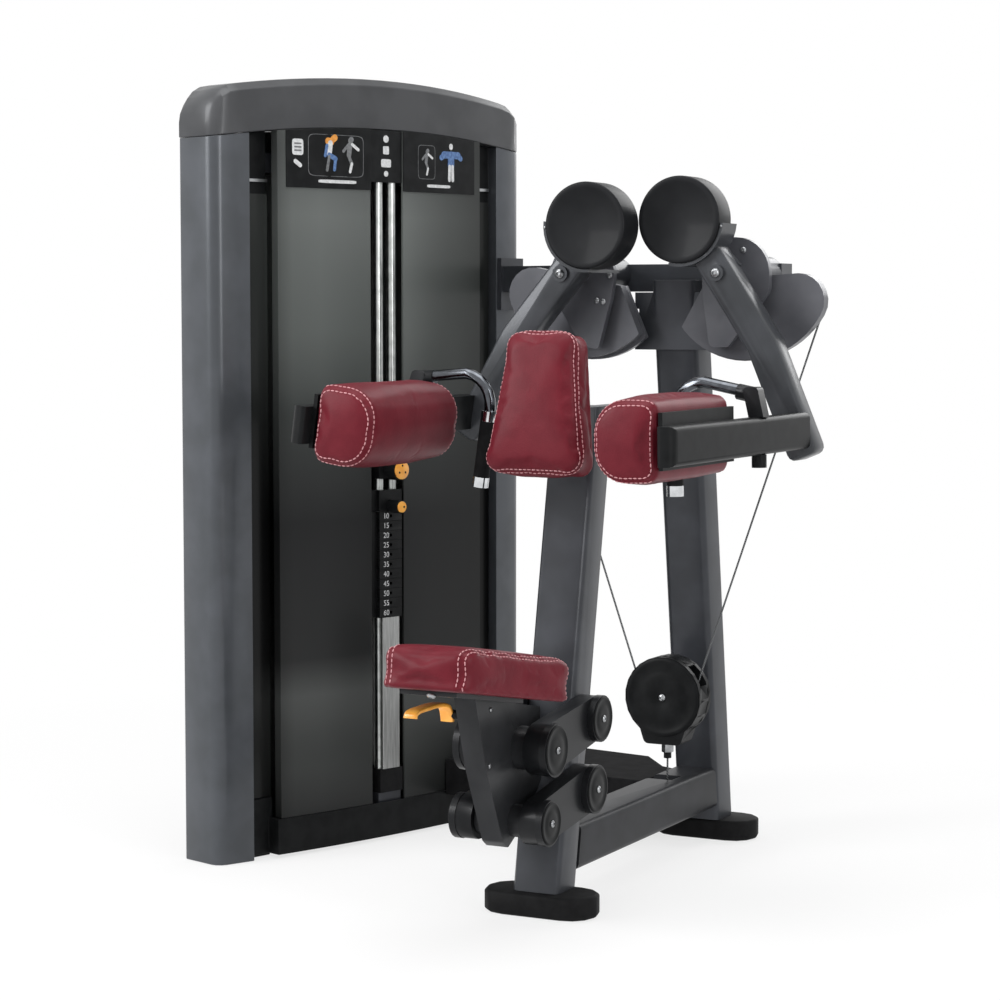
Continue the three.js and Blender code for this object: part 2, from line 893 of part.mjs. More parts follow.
function plateStack() {
  const holes = [...plateBores(), circle(stackX, stackY, selectorBore, rodSides)];
  const body = alongZ(plateOutline(), stackBottom, stackTop - plateGap, { holes });
  const grooves = [];
  for (let plate = 1; plate < plateCount; plate += 1) {
    const z = stackBottom + plate * platePitch - plateGap;
    grooves.push(block(
      stackX - plateHalfWidth - overrun, stackX + plateHalfWidth + overrun,
      noseFront - overrun, noseFront + 2 * pinRadius, z, z + plateGap,
    ));
  }
  const bores = [];
  for (let plate = 0; plate < plateCount; plate += 1) {
    const z = stackBottom + plate * platePitch + plateHeight / 2;
    bores.push(rod([stackX, noseFront - overrun, z], [stackX, stackY, z], pinRadius - fit, boreSides));
  }
  return cut(body, ...grooves, ...bores);
}

function headPlate() {
  const body = alongZ(plateOutline(), headBase, headTop, { holes: plateBores() });
  const stem = rod([stackX, stackY, headTop - fit], [stackX, stackY, stemTop], stemRadius);
  const bore = rod([stackX, noseFront - overrun, pinZ], [stackX, stackY, pinZ], pinRadius + fit);
  return cut(joined(body, stem), bore);
}

function knobbed(front, z, knobSize, shank, shankEnd) {
  const knob = rod([stackX, front - knobReach, z], [stackX, front - fit, z], knobSize, roundSides / 2);
  return joined(knob, rod([stackX, front - 2 * fit, z], [stackX, shankEnd, z], shank));
}

function incrementWeight() {
  const z = incrementBase + incrementHeight / 2;
  const half = noseHalf - fit;
  const body = alongZ(
    rectangle(stackX - half, stackX + half, noseFront, stackY - stemRadius - running),
    incrementBase, incrementBase + incrementHeight, { holes: plateBores() },
  );
  const knobEnds = [[stackX, noseFront - knobReach, z], [stackX, noseFront + fit, z]];
  return joined(body, rod(...knobEnds, incrementKnobRadius, guideSides));
}

function stackRiser() {
  const wall = (half, front, back) => block(
    stackX - half, stackX + half, front, back, bumperTop + fit, stackBottom - fit,
  );
  const webHalf = rodSpacing / 2 - rodRadius - running;
  return joined(
    wall(riserHalf, noseFront, noseFront + riserThick),
    wall(webHalf, noseFront + riserThick / 2, plateBack),
    wall(plateHalfWidth / 2, plateBack / 3, plateBack),
  );
}

function bumper() {
  return alongZ(
    rectangle(stackX - noseHalf, stackX + noseHalf, noseFront, plateBack), bumperBottom, bumperTop,
    { holes: plateBores() },
  );
}

function buildTower() {
  add(tower, 'tower_pillar_left', pillar(-1), paint());
  add(tower, 'tower_pillar_right', pillar(1), paint());
  add(tower, 'tower_cap', towerCap(), satinCap());
  add(tower, 'tower_base_cover', baseCover(), plastic());
  add(tower, 'tower_floor_plate', floorPlate(), paint());
  add(tower, 'tower_top_beam', topBeam(), paint());
  add(tower, 'shroud_left', shroud(-1), material(shroudTint, 0.3, 0));
  add(tower, 'shroud_right', shroud(1), material(shroudTint, 0.3, 0));
  const backPanel = cut(block(
    -innerPillar + fit, innerPillar - fit, pillarDepth - backThick, pillarDepth, baseCoverLift, capArch,
  ), aboveArch(fit));
  add(tower, 'tower_back_cover', backPanel, material(shroudTint, 0.35, 0));
  const placardEdge = shroudOuter - shroudReturn;
  add(tower, 'placard_left', placard(-placardEdge, -slotHalf), material(blackPlastic, 0.4, 0));
  add(tower, 'placard_right', placard(slotHalf, placardEdge), material(blackPlastic, 0.4, 0));
  rodX.forEach((x, index) => {
    const name = ['guide_rod_left', 'guide_rod_right'][index];
    add(tower, name, rod([x, rodY, rodBottom + fit], [x, rodY, rodTop], rodRadius, guideSides), chrome());
  });
  add(tower, 'stack_riser', stackRiser(), material(steel, 0.35, 0.8));
  add(tower, 'stack_bumper', bumper(), material(rubber, 0.85, 0));
  add(tower, 'weight_plates', plateStack(), material(plateSteel, 0.5, 0.5));
  add(tower, 'head_plate', headPlate(), material(plateSteel, 0.5, 0.5));
  add(tower, 'increment_weight', incrementWeight(), bright());
  const pin = knobbed(noseFront, pinZ, selectorKnobRadius, pinRadius, stackY - fit);
  add(tower, 'selector_pin', pin, bright());
  const wheel = () => pulley(pulleyRadius, pulleyWidth, axleRadius + running);
  add(tower, 'foot_pulley', wheel(), plastic()).position.set(footPulleyX, footPulleyY, footPulleyZ);
  const topAcross = new THREE.Vector2(-topAlong.y, topAlong.x);
  [[outerTop, 'top_pulley_outer'], [innerTop, 'top_pulley_inner']].forEach(([centre, name]) => {
    const mesh = add(tower, name, wheel(), plastic());
    aimed(mesh, new THREE.Vector3(centre.x, centre.y, topPulleyZ), topAcross);
  });
}

// Seat frame: faces of the two leaning members at a height
const columnFront = (z) => columnFootY + columnLean * (z - footHeight);
const columnDepth = tubeDepth * Math.hypot(1, columnLean);
const columnBack = (z) => columnFront(z) + columnDepth;
const uprightFront = (z) => uprightFootY + uprightLean * (z - footHeight);
const uprightBack = (z) => uprightFront(z) + uprightDepth;
const crossbarFrontY = uprightBack(crossbarBottom) + fit;
const halfTube = tubeWidth / 2;

// A tube whose section is given in plan and which leans along Y as it climbs
function leaning(section, from, to, lean) {
  const geometry = alongZ(section, from, to);
  const matrix = new THREE.Matrix4().set(1, 0, 0, 0, 0, 1, lean, -lean * footHeight, 0, 0, 1, 0, 0, 0, 0, 1);
  return geometry.applyMatrix4(matrix);
}

function foot(y) {
  const stadium = rectangle(
    -footLength / 2, footLength / 2, y - footWidth / 2, y + footWidth / 2, footWidth / 2 - footRelief,
  );
  return alongZ(stadium, 0, footHeight, { bevel: footBevel });
}

const chestBack = chestThick / Math.cos(chestLean);
const linkStub = linkThick + fit;

function frontColumn() {
  const section = rectangle(-halfTube, halfTube, columnFootY, columnFootY + columnDepth, tubeCorner);
  const column = leaning(section, footHeight + fit, columnTop, columnLean);
  const padPlaneY = chestY + chestBack / 2 + (columnTop - columnBracket - chestZ) * Math.tan(chestLean);
  const bracket = block(
    -columnBracket, columnBracket, padPlaneY + cushionEdge + fit, columnFront(columnTop) + tubeCorner,
    columnTop - 2 * columnBracket, columnTop,
  );
  const plate = padPlate();
  const stubs = [[upperColumnY, upperColumnZ], [lowerColumnY, lowerColumnZ]].map(([y, z]) => rod(
    [-halfTube - linkStub, y, z], [halfTube + linkStub, y, z], linkPin,
  ));
  return joined(column, bracket, plate, ...stubs);
}

// Steel plate on the back of the chest pad
function padPlate() {
  const plate = block(-columnBracket, columnBracket, 0, cushionEdge, -chestLength / 3, chestLength / 3);
  plate.translate(0, chestThick / 2 + fit, 0);
  return plate.rotateX(-chestLean).translate(0, chestY, chestZ);
}

function baseBeam() {
  const section = rectangle(-halfTube, halfTube, beamBottom, beamFloorTop, tubeCorner);
  const beam = alongY(section, columnFront(beamBottom), uprightBack(beamBottom));
  const frontTool = leaning(
    rectangle(-tubeWidth, tubeWidth, columnFootY - tubeWidth, columnFootY + columnDepth + fit),
    0, 2 * beamFloorTop, columnLean,
  );
  const rearTool = leaning(
    rectangle(-tubeWidth, tubeWidth, uprightFootY - fit, uprightFootY + 2 * tubeWidth),
    0, 2 * beamFloorTop, uprightLean,
  );
  const pocket = block(
    -tubeWidth, pulleyWidth, floatY - pulleyWidth, floatY + 2 * pulleyWidth,
    basePulleyZ - basePulleyRadius - pulleyRim - running, 2 * beamFloorTop,
  );
  const [axleNear, axleFar] = basePulleyAxle();
  return joined(cut(beam, frontTool, rearTool, pocket), rod(axleNear, axleFar, axleRadius));
}

function rearUpright() {
  const section = rectangle(-halfTube, halfTube, uprightFootY, uprightFootY + uprightDepth, tubeCorner);
  const upright = leaning(section, footHeight + fit, uprightTop, uprightLean);
  const faceY = uprightFront(headBottom);
  const bracket = (half, depth, from, to) => block(
    -half, half, faceY - headStep, faceY + depth, from, to,
  );
  const headTopZ = headBottom + headHeight;
  return joined(
    upright,
    bracket(headHalf, headDepth, headBottom, headTopZ),
    bracket(headHalf + headStep, headDepth / 2, headBottom, headBottom + headRibHeight),
    bracket(headHalf + headStep, headDepth / 2, headTopZ - headRibHeight, headTopZ),
  );
}

function chestBeam() {
  const half = chestBeamWidth / 2;
  const section = rectangle(-half, half, chestBeamTop - chestBeamHeight, chestBeamTop, tubeCorner);
  const beam = alongY(section, columnFront(columnTop), uprightBack(columnTop));
  const frontTool = leaning(
    rectangle(-tubeWidth, tubeWidth, columnFootY - tubeWidth, columnFootY + columnDepth + fit),
    0, uprightTop, columnLean,
  );
  const rearTool = leaning(
    rectangle(-tubeWidth, tubeWidth, uprightFootY - fit, uprightFootY + 2 * tubeWidth),
    0, uprightTop, uprightLean,
  );
  return cut(beam, frontTool, rearTool);
}

// Crossbar: straight behind the pivots, then a tie to the tower's right pillar
function crossbar() {
  const rearY = crossbarFrontY + crossbarDepth;
  const pillarMiddle = halfTower - pillarWidth / 2;
  const seatFace = frontY(pillarMiddle) - fit;
  const nearEnd = fromTower(pillarMiddle - crossbarDepth / 2, seatFace - flangeThick / 2, 0);
  const farEnd = fromTower(pillarMiddle + crossbarDepth / 3, seatFace - flangeThick / 2, 0);
  const plan = [
    [crossbarEnd, crossbarFrontY], [crossbarEnd, rearY], [-crossbarBend, rearY],
    [farEnd.x, farEnd.y], [nearEnd.x, nearEnd.y], [-crossbarBend, crossbarFrontY],
  ].map(([x, y]) => new THREE.Vector2(x, y));
  const bar = alongZ(plan, crossbarBottom, crossbarTop);
  const slope = Math.atan2(frontY(halfTower) - frontY(innerPillar), pillarWidth);
  const flange = block(-flangeHalf, flangeHalf, -flangeThick, 0, flangeBottom, flangeTop);
  flange.rotateZ(slope).translate(pillarMiddle, seatFace - fit, 0);
  flange.applyMatrix4(tower.matrixWorld);
  const housings = [-pivotX, pivotX].map((x) => alongY(
    circle(x, pivotZ, housingRadius), housingFrontY, crossbarFrontY + tubeCorner,
  ));
  const bores = [-pivotX, pivotX].map((x) => alongY(
    circle(x, pivotZ, shaftRadius + running), housingFrontY - overrun, shaftEndY + overrun / 2,
  ));
  return cut(joined(bar, flange, ...housings), ...bores);
}

// Low cover over the cable between the base beam and the tower
function tieCover() {
  const edge = (x) => fromTower(x, frontY(x) - baseCoverProud - 2 * fit, 0);
  const towerSide = [halfTower - overrun, innerPillar, shroudOuter, footPulleyX, footPulleyX - tieOverlap]
    .map((x) => edge(x));
  const right = -halfTube - fit;
  const plan = [[right, tieNearY], [right, tieFarY], ...tieRear]
    .map(([x, y]) => new THREE.Vector2(x, y));
  towerSide.forEach((point) => plan.push(new THREE.Vector2(point.x, point.y)));
  const body = alongZ(plan, tieBottom, tieTop);
  const start = new THREE.Vector3(0, floatY, 0);
  const toFoot = cableHeading();
  const side = new THREE.Vector3(-toFoot.y, toFoot.x, 0);
  const half = pulleyWidth;
  const channelEnd = 2 * towerWidth;
  const corners = [[-1, -tubeWidth], [1, -tubeWidth], [1, channelEnd], [-1, channelEnd]];
  const channel = corners.map(([sign, reach]) => {
    const point = start.clone().addScaledVector(toFoot, reach).addScaledVector(side, sign * half);
    return new THREE.Vector2(point.x, point.y);
  });
  const duct = alongZ(channel, tieBottom - overrun, tieTop - tieWall);
  return cut(body, duct);
}

// The cable's level heading from the base pulley to the foot pulley
function cableHeading() {
  const footCentre = fromTower(footPulleyX, footPulleyY, 0);
  return new THREE.Vector3(footCentre.x, footCentre.y - floatY, 0).normalize();
}

function basePulleyCentre() {
  return new THREE.Vector3(0, floatY, basePulleyZ).addScaledVector(cableHeading(), basePulleyRadius);
}

function basePulleyAxle() {
  const heading = cableHeading();
  const across = new THREE.Vector3(-heading.y, heading.x, 0);
  const centre = basePulleyCentre();
  const near = centre.clone().addScaledVector(across, 2 * pulleyWidth + overrun);
  const far = centre.clone().addScaledVector(across, -pulleyWidth - overrun);
  return [near.toArray(), far.toArray()];
}

function buildFrame() {
  add(machine, 'front_foot', foot(0), material(rubber, 0.8, 0));
  add(machine, 'rear_foot', foot(rearFootY), material(rubber, 0.8, 0));
  add(machine, 'front_column', frontColumn(), paint());
  add(machine, 'base_beam', baseBeam(), paint());
  add(machine, 'rear_upright', rearUpright(), paint());
  add(machine, 'chest_beam', chestBeam(), paint());
  add(machine, 'top_crossbar', crossbar(), paint());
  add(machine, 'cable_cover', tieCover(), plastic());
  const heading = cableHeading();
  const baseWheel = add(
    machine, 'base_pulley', pulley(basePulleyRadius, pulleyWidth, axleRadius + running), plastic(),
  );
  aimed(baseWheel, basePulleyCentre(), new THREE.Vector3(-heading.y, heading.x, 0));
  const pad = cushion(
    [
      [-chestBottomHalf, -chestLength / 2, chestCorner], [chestBottomHalf, -chestLength / 2, chestCorner],
      [chestTopHalf, chestLength / 2, chestCorner], [-chestTopHalf, chestLength / 2, chestCorner],
    ],
    chestThick, cushionCrown, cushionEdge, cushionDraw,
  );
  pad.translate(0, 0, -chestThick / 2);
  pad.rotateX(Math.PI / 2 - chestLean);
  pad.translate(0, chestY, chestZ);
  add(machine, 'chest_pad', pad, vinyl());
}

// Arms: side is +1 for the right one and -1 for the left one
const discs = {
  right: { frontY: discRightFrontY, thick: discRightThick, inboard: discRightInboard },
  left: { frontY: discLeftFrontY, thick: discLeftThick, inboard: discLeftInboard },
};

function armTube(side, disc) {
  const lower = new THREE.Vector2(armTipOut - armBendOut, armBendDown - armTipDown).normalize();
  const upper = new THREE.Vector2(armBendOut, -armBendDown).normalize();
  const at = (u, v, along, reach, sign) => [
    u + along.x * reach - along.y * armHalf * sign,
    v + along.y * reach + along.x * armHalf * sign,
  ];
  const middle = upper.clone().add(lower).normalize();
  const miter = 1 / middle.dot(upper);
  const corner = (sign) => [
    armBendOut - middle.y * armHalf * miter * sign,
    -armBendDown + middle.x * armHalf * miter * sign,
  ];
  const corners = [
    [...at(0, 0, upper, -armHeadUp, 1), armHeadCorner], [...corner(1), 3 * armHalf],
    [...at(armTipOut, -armTipDown, lower, 0, 1), armTipCorner],
    [...at(armTipOut, -armTipDown, lower, 0, -1), armTipCorner], [...corner(-1), 3 * armHalf],
    [...at(0, 0, upper, -armHeadUp, -1), armHeadCorner],
  ].map(([u, v, radius]) => [side * u, v, radius]);
  const bar = alongY(outline(corners), armFrontY, armFrontY + armDepth, { bevel: armBevel });
  const bolt = alongY(circle(0, 0, boltRadius, rodSides), armFrontY - boltHead, armFrontY + fit);
  const toPivot = Math.atan2(-discUp, side * disc.inboard);
  const inner = discRadius + 2 * fit;
  const cradleArc = (radius, from, to) => arc(
    -side * disc.inboard, discUp, radius, toPivot + from, toPivot + to, cradleSteps,
  );
  const cradleShape = cradleArc(inner, -cradleHalfAngle, cradleHalfAngle)
    .concat(cradleArc(inner + cradleWall, cradleHalfAngle, -cradleHalfAngle));
  const cradle = alongY(cradleShape, disc.frontY + cradleWall, armFrontY + armDepth);
  const discBack = disc.frontY + disc.thick + fit;
  const spigotShare = spigotReach / Math.hypot(disc.inboard, discUp);
  const spigotOut = -side * disc.inboard * spigotShare;
  const spigotUp = discUp * spigotShare;
  const spigot = alongY(
    circle(spigotOut, spigotUp, spigotRadius, rodSides), discBack, armFrontY + armDepth,
  );
  const webEnd = armFrontY + armDepth;
  const webShape = outline([
    [spigotOut, spigotUp + spigotRadius],
    [spigotOut - side * spigotRadius, spigotUp],
    [-side * armHalf / 2, -armHalf / 2],
    [side * armHalf, armHalf / 2],
  ]);
  const web = alongY(webShape, Math.max(discBack, webEnd - overrun), webEnd);
  const space = alongY(
    circle(-side * disc.inboard, discUp, inner, discSides), disc.frontY - overrun, discBack,
  );
  return joined(cut(bar, space), bolt, cradle, web, spigot);
}

function counterweight(side, disc) {
  return alongY(
    circle(-side * disc.inboard, discUp, discRadius, discSides), disc.frontY, disc.frontY + disc.thick,
    { bevel: discBevel },
  );
}

function hubPlate(side) {
  const shape = outline([
    [side * hubRadius, hubRadius, hubRadius - fit], [side * hubRadius, -hubRadius / 2, hubRadius / 2],
    [side * (hubTipHalf - hubTipInboard), -hubTipDown, hubTipHalf / 2],
    [side * (-hubTipHalf - hubTipInboard), -hubTipDown, hubTipHalf / 2],
    [-side * hubRadius, -hubRadius / 2, hubRadius / 2], [-side * hubRadius, hubRadius, hubRadius - fit],
  ], hubSteps);
  const plate = alongY(shape, hubFrontY, hubFrontY + hubThick);
  const shaft = alongY(circle(0, 0, shaftRadius, rodSides * 2), armFrontY + armDepth + fit, shaftEndY);
  return joined(plate, shaft);
}

function cableCam(side) {
  const inboard = [new THREE.Vector2(-side * 2 * hubTipInboard, -camInnerDrop)];
  const mirrored = (points) => points.map((point) => new THREE.Vector2(side * point.x, point.y));
  const roundReach = camPlateRadius - camRound;
  const roundAngle = -Math.asin((camPlateUp + camTopDrop + camRound) / roundReach);
  const corner = arc(
    camPlateOut + roundReach * Math.cos(roundAngle), camPlateUp + roundReach * Math.sin(roundAngle),
    camRound, Math.PI / 2, roundAngle, hubSteps,
  );
  const edge = arc(camPlateOut, camPlateUp, camPlateRadius, roundAngle, camInnerAngle, camSteps);
  const face = mirrored(corner.concat(edge.slice(1))).concat(inboard);
  const bed = mirrored(arc(
    0, 0, camCableRadius - cableRadius - fit, anchorAngle, camInnerAngle, camSteps,
  )).concat(inboard);
  const plate = alongY(face, camFrontY, camFrontY + camThick + fit);
  const rim = alongY(bed, camFrontY + camThick, camFrontY + camThick + camRimThick);
  const boss = alongY(circle(0, 0, 2 * shaftRadius), camFrontY, camFrontY + camThick + camRimThick);
  const bore = alongY(
    circle(0, 0, shaftRadius + fit, rodSides * 2),
    camFrontY - overrun, camFrontY + camThick + camRimThick + overrun,
  );
  return cut(joined(plate, rim, boss), bore);
}

// D-shaped roll: round on the inboard side, flat on the outboard side
function armPad(side) {
  const corners = [
    [padHalfWidth, -padHalfHeight, padOuterRadius], [padHalfWidth, padHalfHeight, padOuterRadius],
    [-padHalfWidth, padHalfHeight, padInnerRadius], [-padHalfWidth, -padHalfHeight, padInnerRadius],
  ];
  const rim = outline(corners, rollSteps);
  const rings = [];
  const ring = (inset, y, shrink = 1) => rings.push(rim.map((point) => {
    const kept = point.clone().multiplyScalar(shrink * (1 - inset / point.length()));
    return new THREE.Vector3(side * (padOut + kept.x), y, kept.y - padDown);
  }));
  const half = padLength / 2;
  const middleY = padFrontY + half;
  const flat = half - padCrown;
  const roundShare = 1 - Math.SQRT1_2;
  const stations = [
    ...endShares.map((share) => [padEdge, -half + padCrown * share * share, share]),
    [padEdge, -flat, 1], [roundShare * padEdge, -flat + roundShare * padEdge, 1], [0, -flat + padEdge, 1],
  ];
  stations.forEach(([inset, y, shrink]) => ring(inset, middleY + y, shrink));
  bellyShares.forEach((share) => {
    ring(-padCrown * (1 - share * share) / 2, middleY + share * half);
  });
  stations.reverse().forEach(([inset, y, shrink]) => ring(inset, middleY - y, shrink));
  return loft(rings);
}

const boardOut = padOut + padHalfWidth + padCrown / 2 + fit;

function padBeam(side) {
  const board = alongY(
    rectangle(
      Math.min(side * boardOut, side * (boardOut + boardThick)),
      Math.max(side * boardOut, side * (boardOut + boardThick)),
      -padDown - padHalfHeight + padOuterRadius, -padDown + padHalfHeight - padOuterRadius,
    ),
    padFrontY + padEdge, padFrontY + padLength - padEdge,
  );
  const inner = boardOut + boardThick - fit;
  const outer = boardOut + boardThick + padBeamWidth;
  const middle = -padDown - boardThick;
  const plan = outline([
    [side * inner, padBeamFrontY, boardThick], [side * outer, padBeamFrontY, padBeamNose - fit],
    [side * outer, armFrontY - fit], [side * inner, armFrontY - fit],
  ], bendSteps);
  const section = outline([
    [side * inner, middle - padBeamHeight / 2], [side * outer, middle - padBeamHeight / 2, padBeamRound],
    [side * outer, middle + padBeamHeight / 2, padBeamRound], [side * inner, middle + padBeamHeight / 2],
  ]);
  const beam = common(
    alongZ(plan, middle - padBeamHeight, middle + padBeamHeight),
    alongY(section, padBeamFrontY - overrun, armFrontY),
  );
  const knob = rod(
    [side * (inner + outer) / 2, handleY, middle - padBeamHeight / 2 - knobHeight],
    [side * (inner + outer) / 2, handleY, middle - padBeamHeight / 2 + fit],
    knobRadius,
  );
  return joined(beam, board, knob);
}

const beamMiddleOut = boardOut + boardThick + padBeamWidth / 2;
const beamTopDown = padDown + boardThick - padBeamHeight / 2;
const gripBottomDown = gripTopDown + gripLength;

function handleBar(side) {
  const clampBase = -beamTopDown + fit;
  const clamp = alongY(outline([
    [side * (beamMiddleOut - clampHalf), clampBase], [side * (beamMiddleOut + clampHalf), clampBase],
    [side * (beamMiddleOut + clampHalf - clampLean), clampBase + clampHeight, clampHalf / 2],
    [side * (beamMiddleOut - clampHalf - clampLean), clampBase + clampHeight, clampHalf / 2],
  ]), handleY - clampHalf, handleY + clampHalf);
  const rise = new THREE.Vector3(0, 0, 1);
  const inward = new THREE.Vector3(-side, 0, 0);
  const corner = new THREE.Vector3(
    side * (handleGripOut + handleBend), handleY, -handleTopDown + handleRise - handleBend,
  );
  const route = [
    [side * beamMiddleOut, handleY, -handleTopDown - handleRise],
    ...bend(corner, rise, inward, handleBend, 0, Math.PI / 2, bendSteps),
    [side * handleGripOut, handleY, -gripBottomDown - collarHeight / 2],
  ];
  const tubePart = tube(route, handleTube, rodSides);
  const ringOut = beamMiddleOut - clampHalf - clampLean;
  const ring = rod(
    [side * (ringOut - ringLength), handleY, -handleTopDown - handleRise / 2],
    [side * (ringOut + clampHalf), handleY, -handleTopDown - handleRise], ringRadius,
  );
  const collar = (down) => rod(
    [side * handleGripOut, handleY, -down - collarHeight], [side * handleGripOut, handleY, -down],
    gripRadius + fit,
  );
  const lowerCollar = collar(gripBottomDown + fit);
  const upperCollar = collar(gripTopDown - fit - collarHeight);
  return joined(tubePart, clamp, ring, lowerCollar, upperCollar);
}

function handGrip(side) {
  const profile = [
    [handleTube + 2 * fit, 0], [gripRadius - fit, 0], [gripRadius, fit], [gripRadius, gripLength - fit],
    [gripRadius - fit, gripLength], [handleTube + 2 * fit, gripLength], [handleTube + 2 * fit, 0],
  ].map(([across, along]) => new THREE.Vector2(across, along));
  const sleeve = new THREE.LatheGeometry(profile, rodSides).rotateX(Math.PI / 2);
  return sleeve.translate(side * handleGripOut, handleY, -gripBottomDown);
}

function buildArm(side, name, rest) {
  const arm = new THREE.Group();
  arm.position.set(side * pivotX, 0, pivotZ);
  arm.rotation.y = -side * rest;
  machine.add(arm);
  add(arm, `arm_${name}`, armTube(side, discs[name]), paint());
  add(arm, `counterweight_${name}`, counterweight(side, discs[name]), material(blackPlastic, 0.6, 0.1));
  add(arm, `hub_plate_${name}`, hubPlate(side), paint());
  add(arm, `cable_cam_${name}`, cableCam(side), paint());
  add(arm, `arm_pad_${name}`, armPad(side), vinyl());
  add(arm, `pad_beam_${name}`, padBeam(side), plastic());
  add(arm, `handle_${name}`, handleBar(side), chrome());
  add(arm, `hand_grip_${name}`, handGrip(side), material(rubber, 0.8, 0));
}

// Floating pulley: two round covers, a yoke under them and the wheel between
function pulleyBlock() {
  const covers = [-1, 1].map((side) => {
    const inner = floatY + side * coverGapHalf;
    const outer = inner + side * coverThick;
    return alongY(circle(0, floatZ, coverRadius), Math.min(inner, outer), Math.max(inner, outer));
  });
  const reach = coverGapHalf + coverThick;
  const shoulder = coverRadius - coverRim;
  const yoke = alongY(outline([
    [-yokeHalf, yokeBottom, yokeCorner], [yokeHalf, yokeBottom, yokeCorner],
    [shoulder * Math.SQRT1_2, floatZ - shoulder * Math.SQRT1_2],
    [-shoulder * Math.SQRT1_2, floatZ - shoulder * Math.SQRT1_2],
  ]), floatY - reach, floatY + reach);
  const rimWall = (from, to) => alongY(
    arc(0, floatZ, coverRadius, from, to, rimSteps).concat(arc(0, floatZ, shoulder, to, from, rimSteps)),
    floatY - coverGapHalf - fit, floatY + coverGapHalf + fit,
  );
  const rims = [
    rimWall(rimOpenTo, Math.PI - rimOpenTo), rimWall(-Math.PI - rimOpenFrom, rimOpenFrom),
  ];
  const relief = alongY(
    circle(0, floatZ, floatRadius + 2 * pulleyRim), floatY - coverGapHalf, floatY + coverGapHalf,
  );
  const axle = rod([0, floatY - reach + fit, floatZ], [0, floatY + reach - fit, floatZ], axleRadius);
  const stem = rod([0, floatY, hangerBottom], [0, floatY, yokeBottom + fit], hangerRadius);
  return joined(cut(yoke, relief), ...rims, ...covers, axle, stem);
}

// Where the cable leaves a cam for the floating pulley: the common outer tangent
// runs on the outboard side of the cam and the same side of the wheel
function armCable(side) {
  const dx = pivotX;
  const dz = pivotZ - floatZ;
  const distance = Math.hypot(dx, dz);
  const tilt = Math.asin((camCableRadius - floatRadius) / distance);
  const angle = Math.atan2(dz, dx) - Math.PI / 2 - tilt;
  const cam = new THREE.Vector3(side * pivotX, floatY, pivotZ);
  const wheel = new THREE.Vector3(0, floatY, floatZ);
  const outward = new THREE.Vector3(side, 0, 0);
  const route = [
    ...bend(cam, outward, axisZ, camCableRadius, anchorAngle, angle, endBendSteps),
    ...bend(wheel, outward, axisZ, floatRadius, angle, cableEndAngle - Math.PI / 2, wheelBendSteps),
  ];
  return tube(route, cableRadius, cordSides);
}

function transferCable() {
  const heading = cableHeading();
  const baseCentre = basePulleyCentre();
  const footCentre = fromTower(footPulleyX, footPulleyY, footPulleyZ);
  const quarter = Math.PI / 2;
  const baseBend = bend(baseCentre, heading, axisZ, basePulleyRadius, -2 * quarter, -quarter, bendSteps);
  const footDirection = new THREE.Vector3(0, 1, 0).applyQuaternion(tower.quaternion);
  const footBend = bend(footCentre, footDirection, axisZ, pulleyRadius, -quarter, 0, bendSteps);
  const across = fromTower(topAlong.x, topAlong.y, 0).sub(tower.position).normalize();
  const outerCentre = fromTower(outerTop.x, outerTop.y, topPulleyZ);
  const innerCentre = fromTower(innerTop.x, innerTop.y, topPulleyZ);
  const outerBend = bend(outerCentre, across, axisZ, pulleyRadius, 2 * quarter, quarter, bendSteps);
  const innerBend = bend(innerCentre, across, axisZ, pulleyRadius, quarter, 0, bendSteps);
  return tube([...baseBend, ...footBend, ...outerBend, ...innerBend], cableRadius, cordSides);
}

function buildCables() {
  add(machine, 'pulley_block', pulleyBlock(), plastic());
  const sheave = pulley(floatRadius, floatWidth, axleRadius + running);
  const wheel = add(machine, 'floating_sheave', sheave, plastic());
  aimed(wheel, new THREE.Vector3(0, floatY, floatZ), axisY);
  add(machine, 'arm_cable_right', armCable(1), chrome());
  add(machine, 'arm_cable_left', armCable(-1), chrome());
  add(machine, 'transfer_cable', transferCable(), chrome());
  const blockRun = [[0, floatY, basePulleyZ + fit], [0, floatY, hangerBottom - fit]];
  add(machine, 'block_cable', tube(blockRun, cableRadius, cordSides), chrome());
  const stackRunCable = [[stackX, stackY, stemTop + fit], [stackX, stackY, topPulleyZ - fit]];
  add(tower, 'stack_cable', tube(stackRunCable, cableRadius, cordSides), chrome());
}

// A link: two side plates outside the column, with round caps, and the pin
// across the carriage that ties them
function link(columnY, columnZ, columnCap, carriageCap, pinSize) {
  const carriageY = columnY - linkReach;
  const carriageZ = columnZ - linkDrop;
  const inner = halfTube + 2 * fit;
  const outer = inner + linkThick;
  const along = Math.atan2(-linkDrop, -linkReach);
  const quarter = Math.PI / 2;
  const columnEnd = arc(
    columnY, columnZ, columnCap - 4 * fit, along + quarter, along + 3 * quarter, linkSteps,
  );
  const carriageEnd = arc(
    carriageY, carriageZ, carriageCap - 4 * fit, along - quarter, along + quarter, linkSteps,
  );
  const body = columnEnd.concat(carriageEnd);
  const parts = [];
  [-1, 1].forEach((side) => {
    const span = (from, to) => [Math.min(side * from, side * to), Math.max(side * from, side * to)];
    parts.push(alongX(body, ...span(inner, outer)));
    parts.push(alongX(circle(columnY, columnZ, columnCap), ...span(outer - fit, outer + capThick)));
    parts.push(alongX(circle(carriageY, carriageZ, carriageCap), ...span(outer - fit, outer + capThick)));
  });
  parts.push(rod([-outer, carriageY, carriageZ], [outer, carriageY, carriageZ], pinSize));
  const bores = [-1, 1].map((side) => rod(
    [side * (inner - overrun), columnY, columnZ], [side * (outer + running), columnY, columnZ],
    linkPin + running, guideSides,
  ));
  return cut(joined(...parts), ...bores);
}

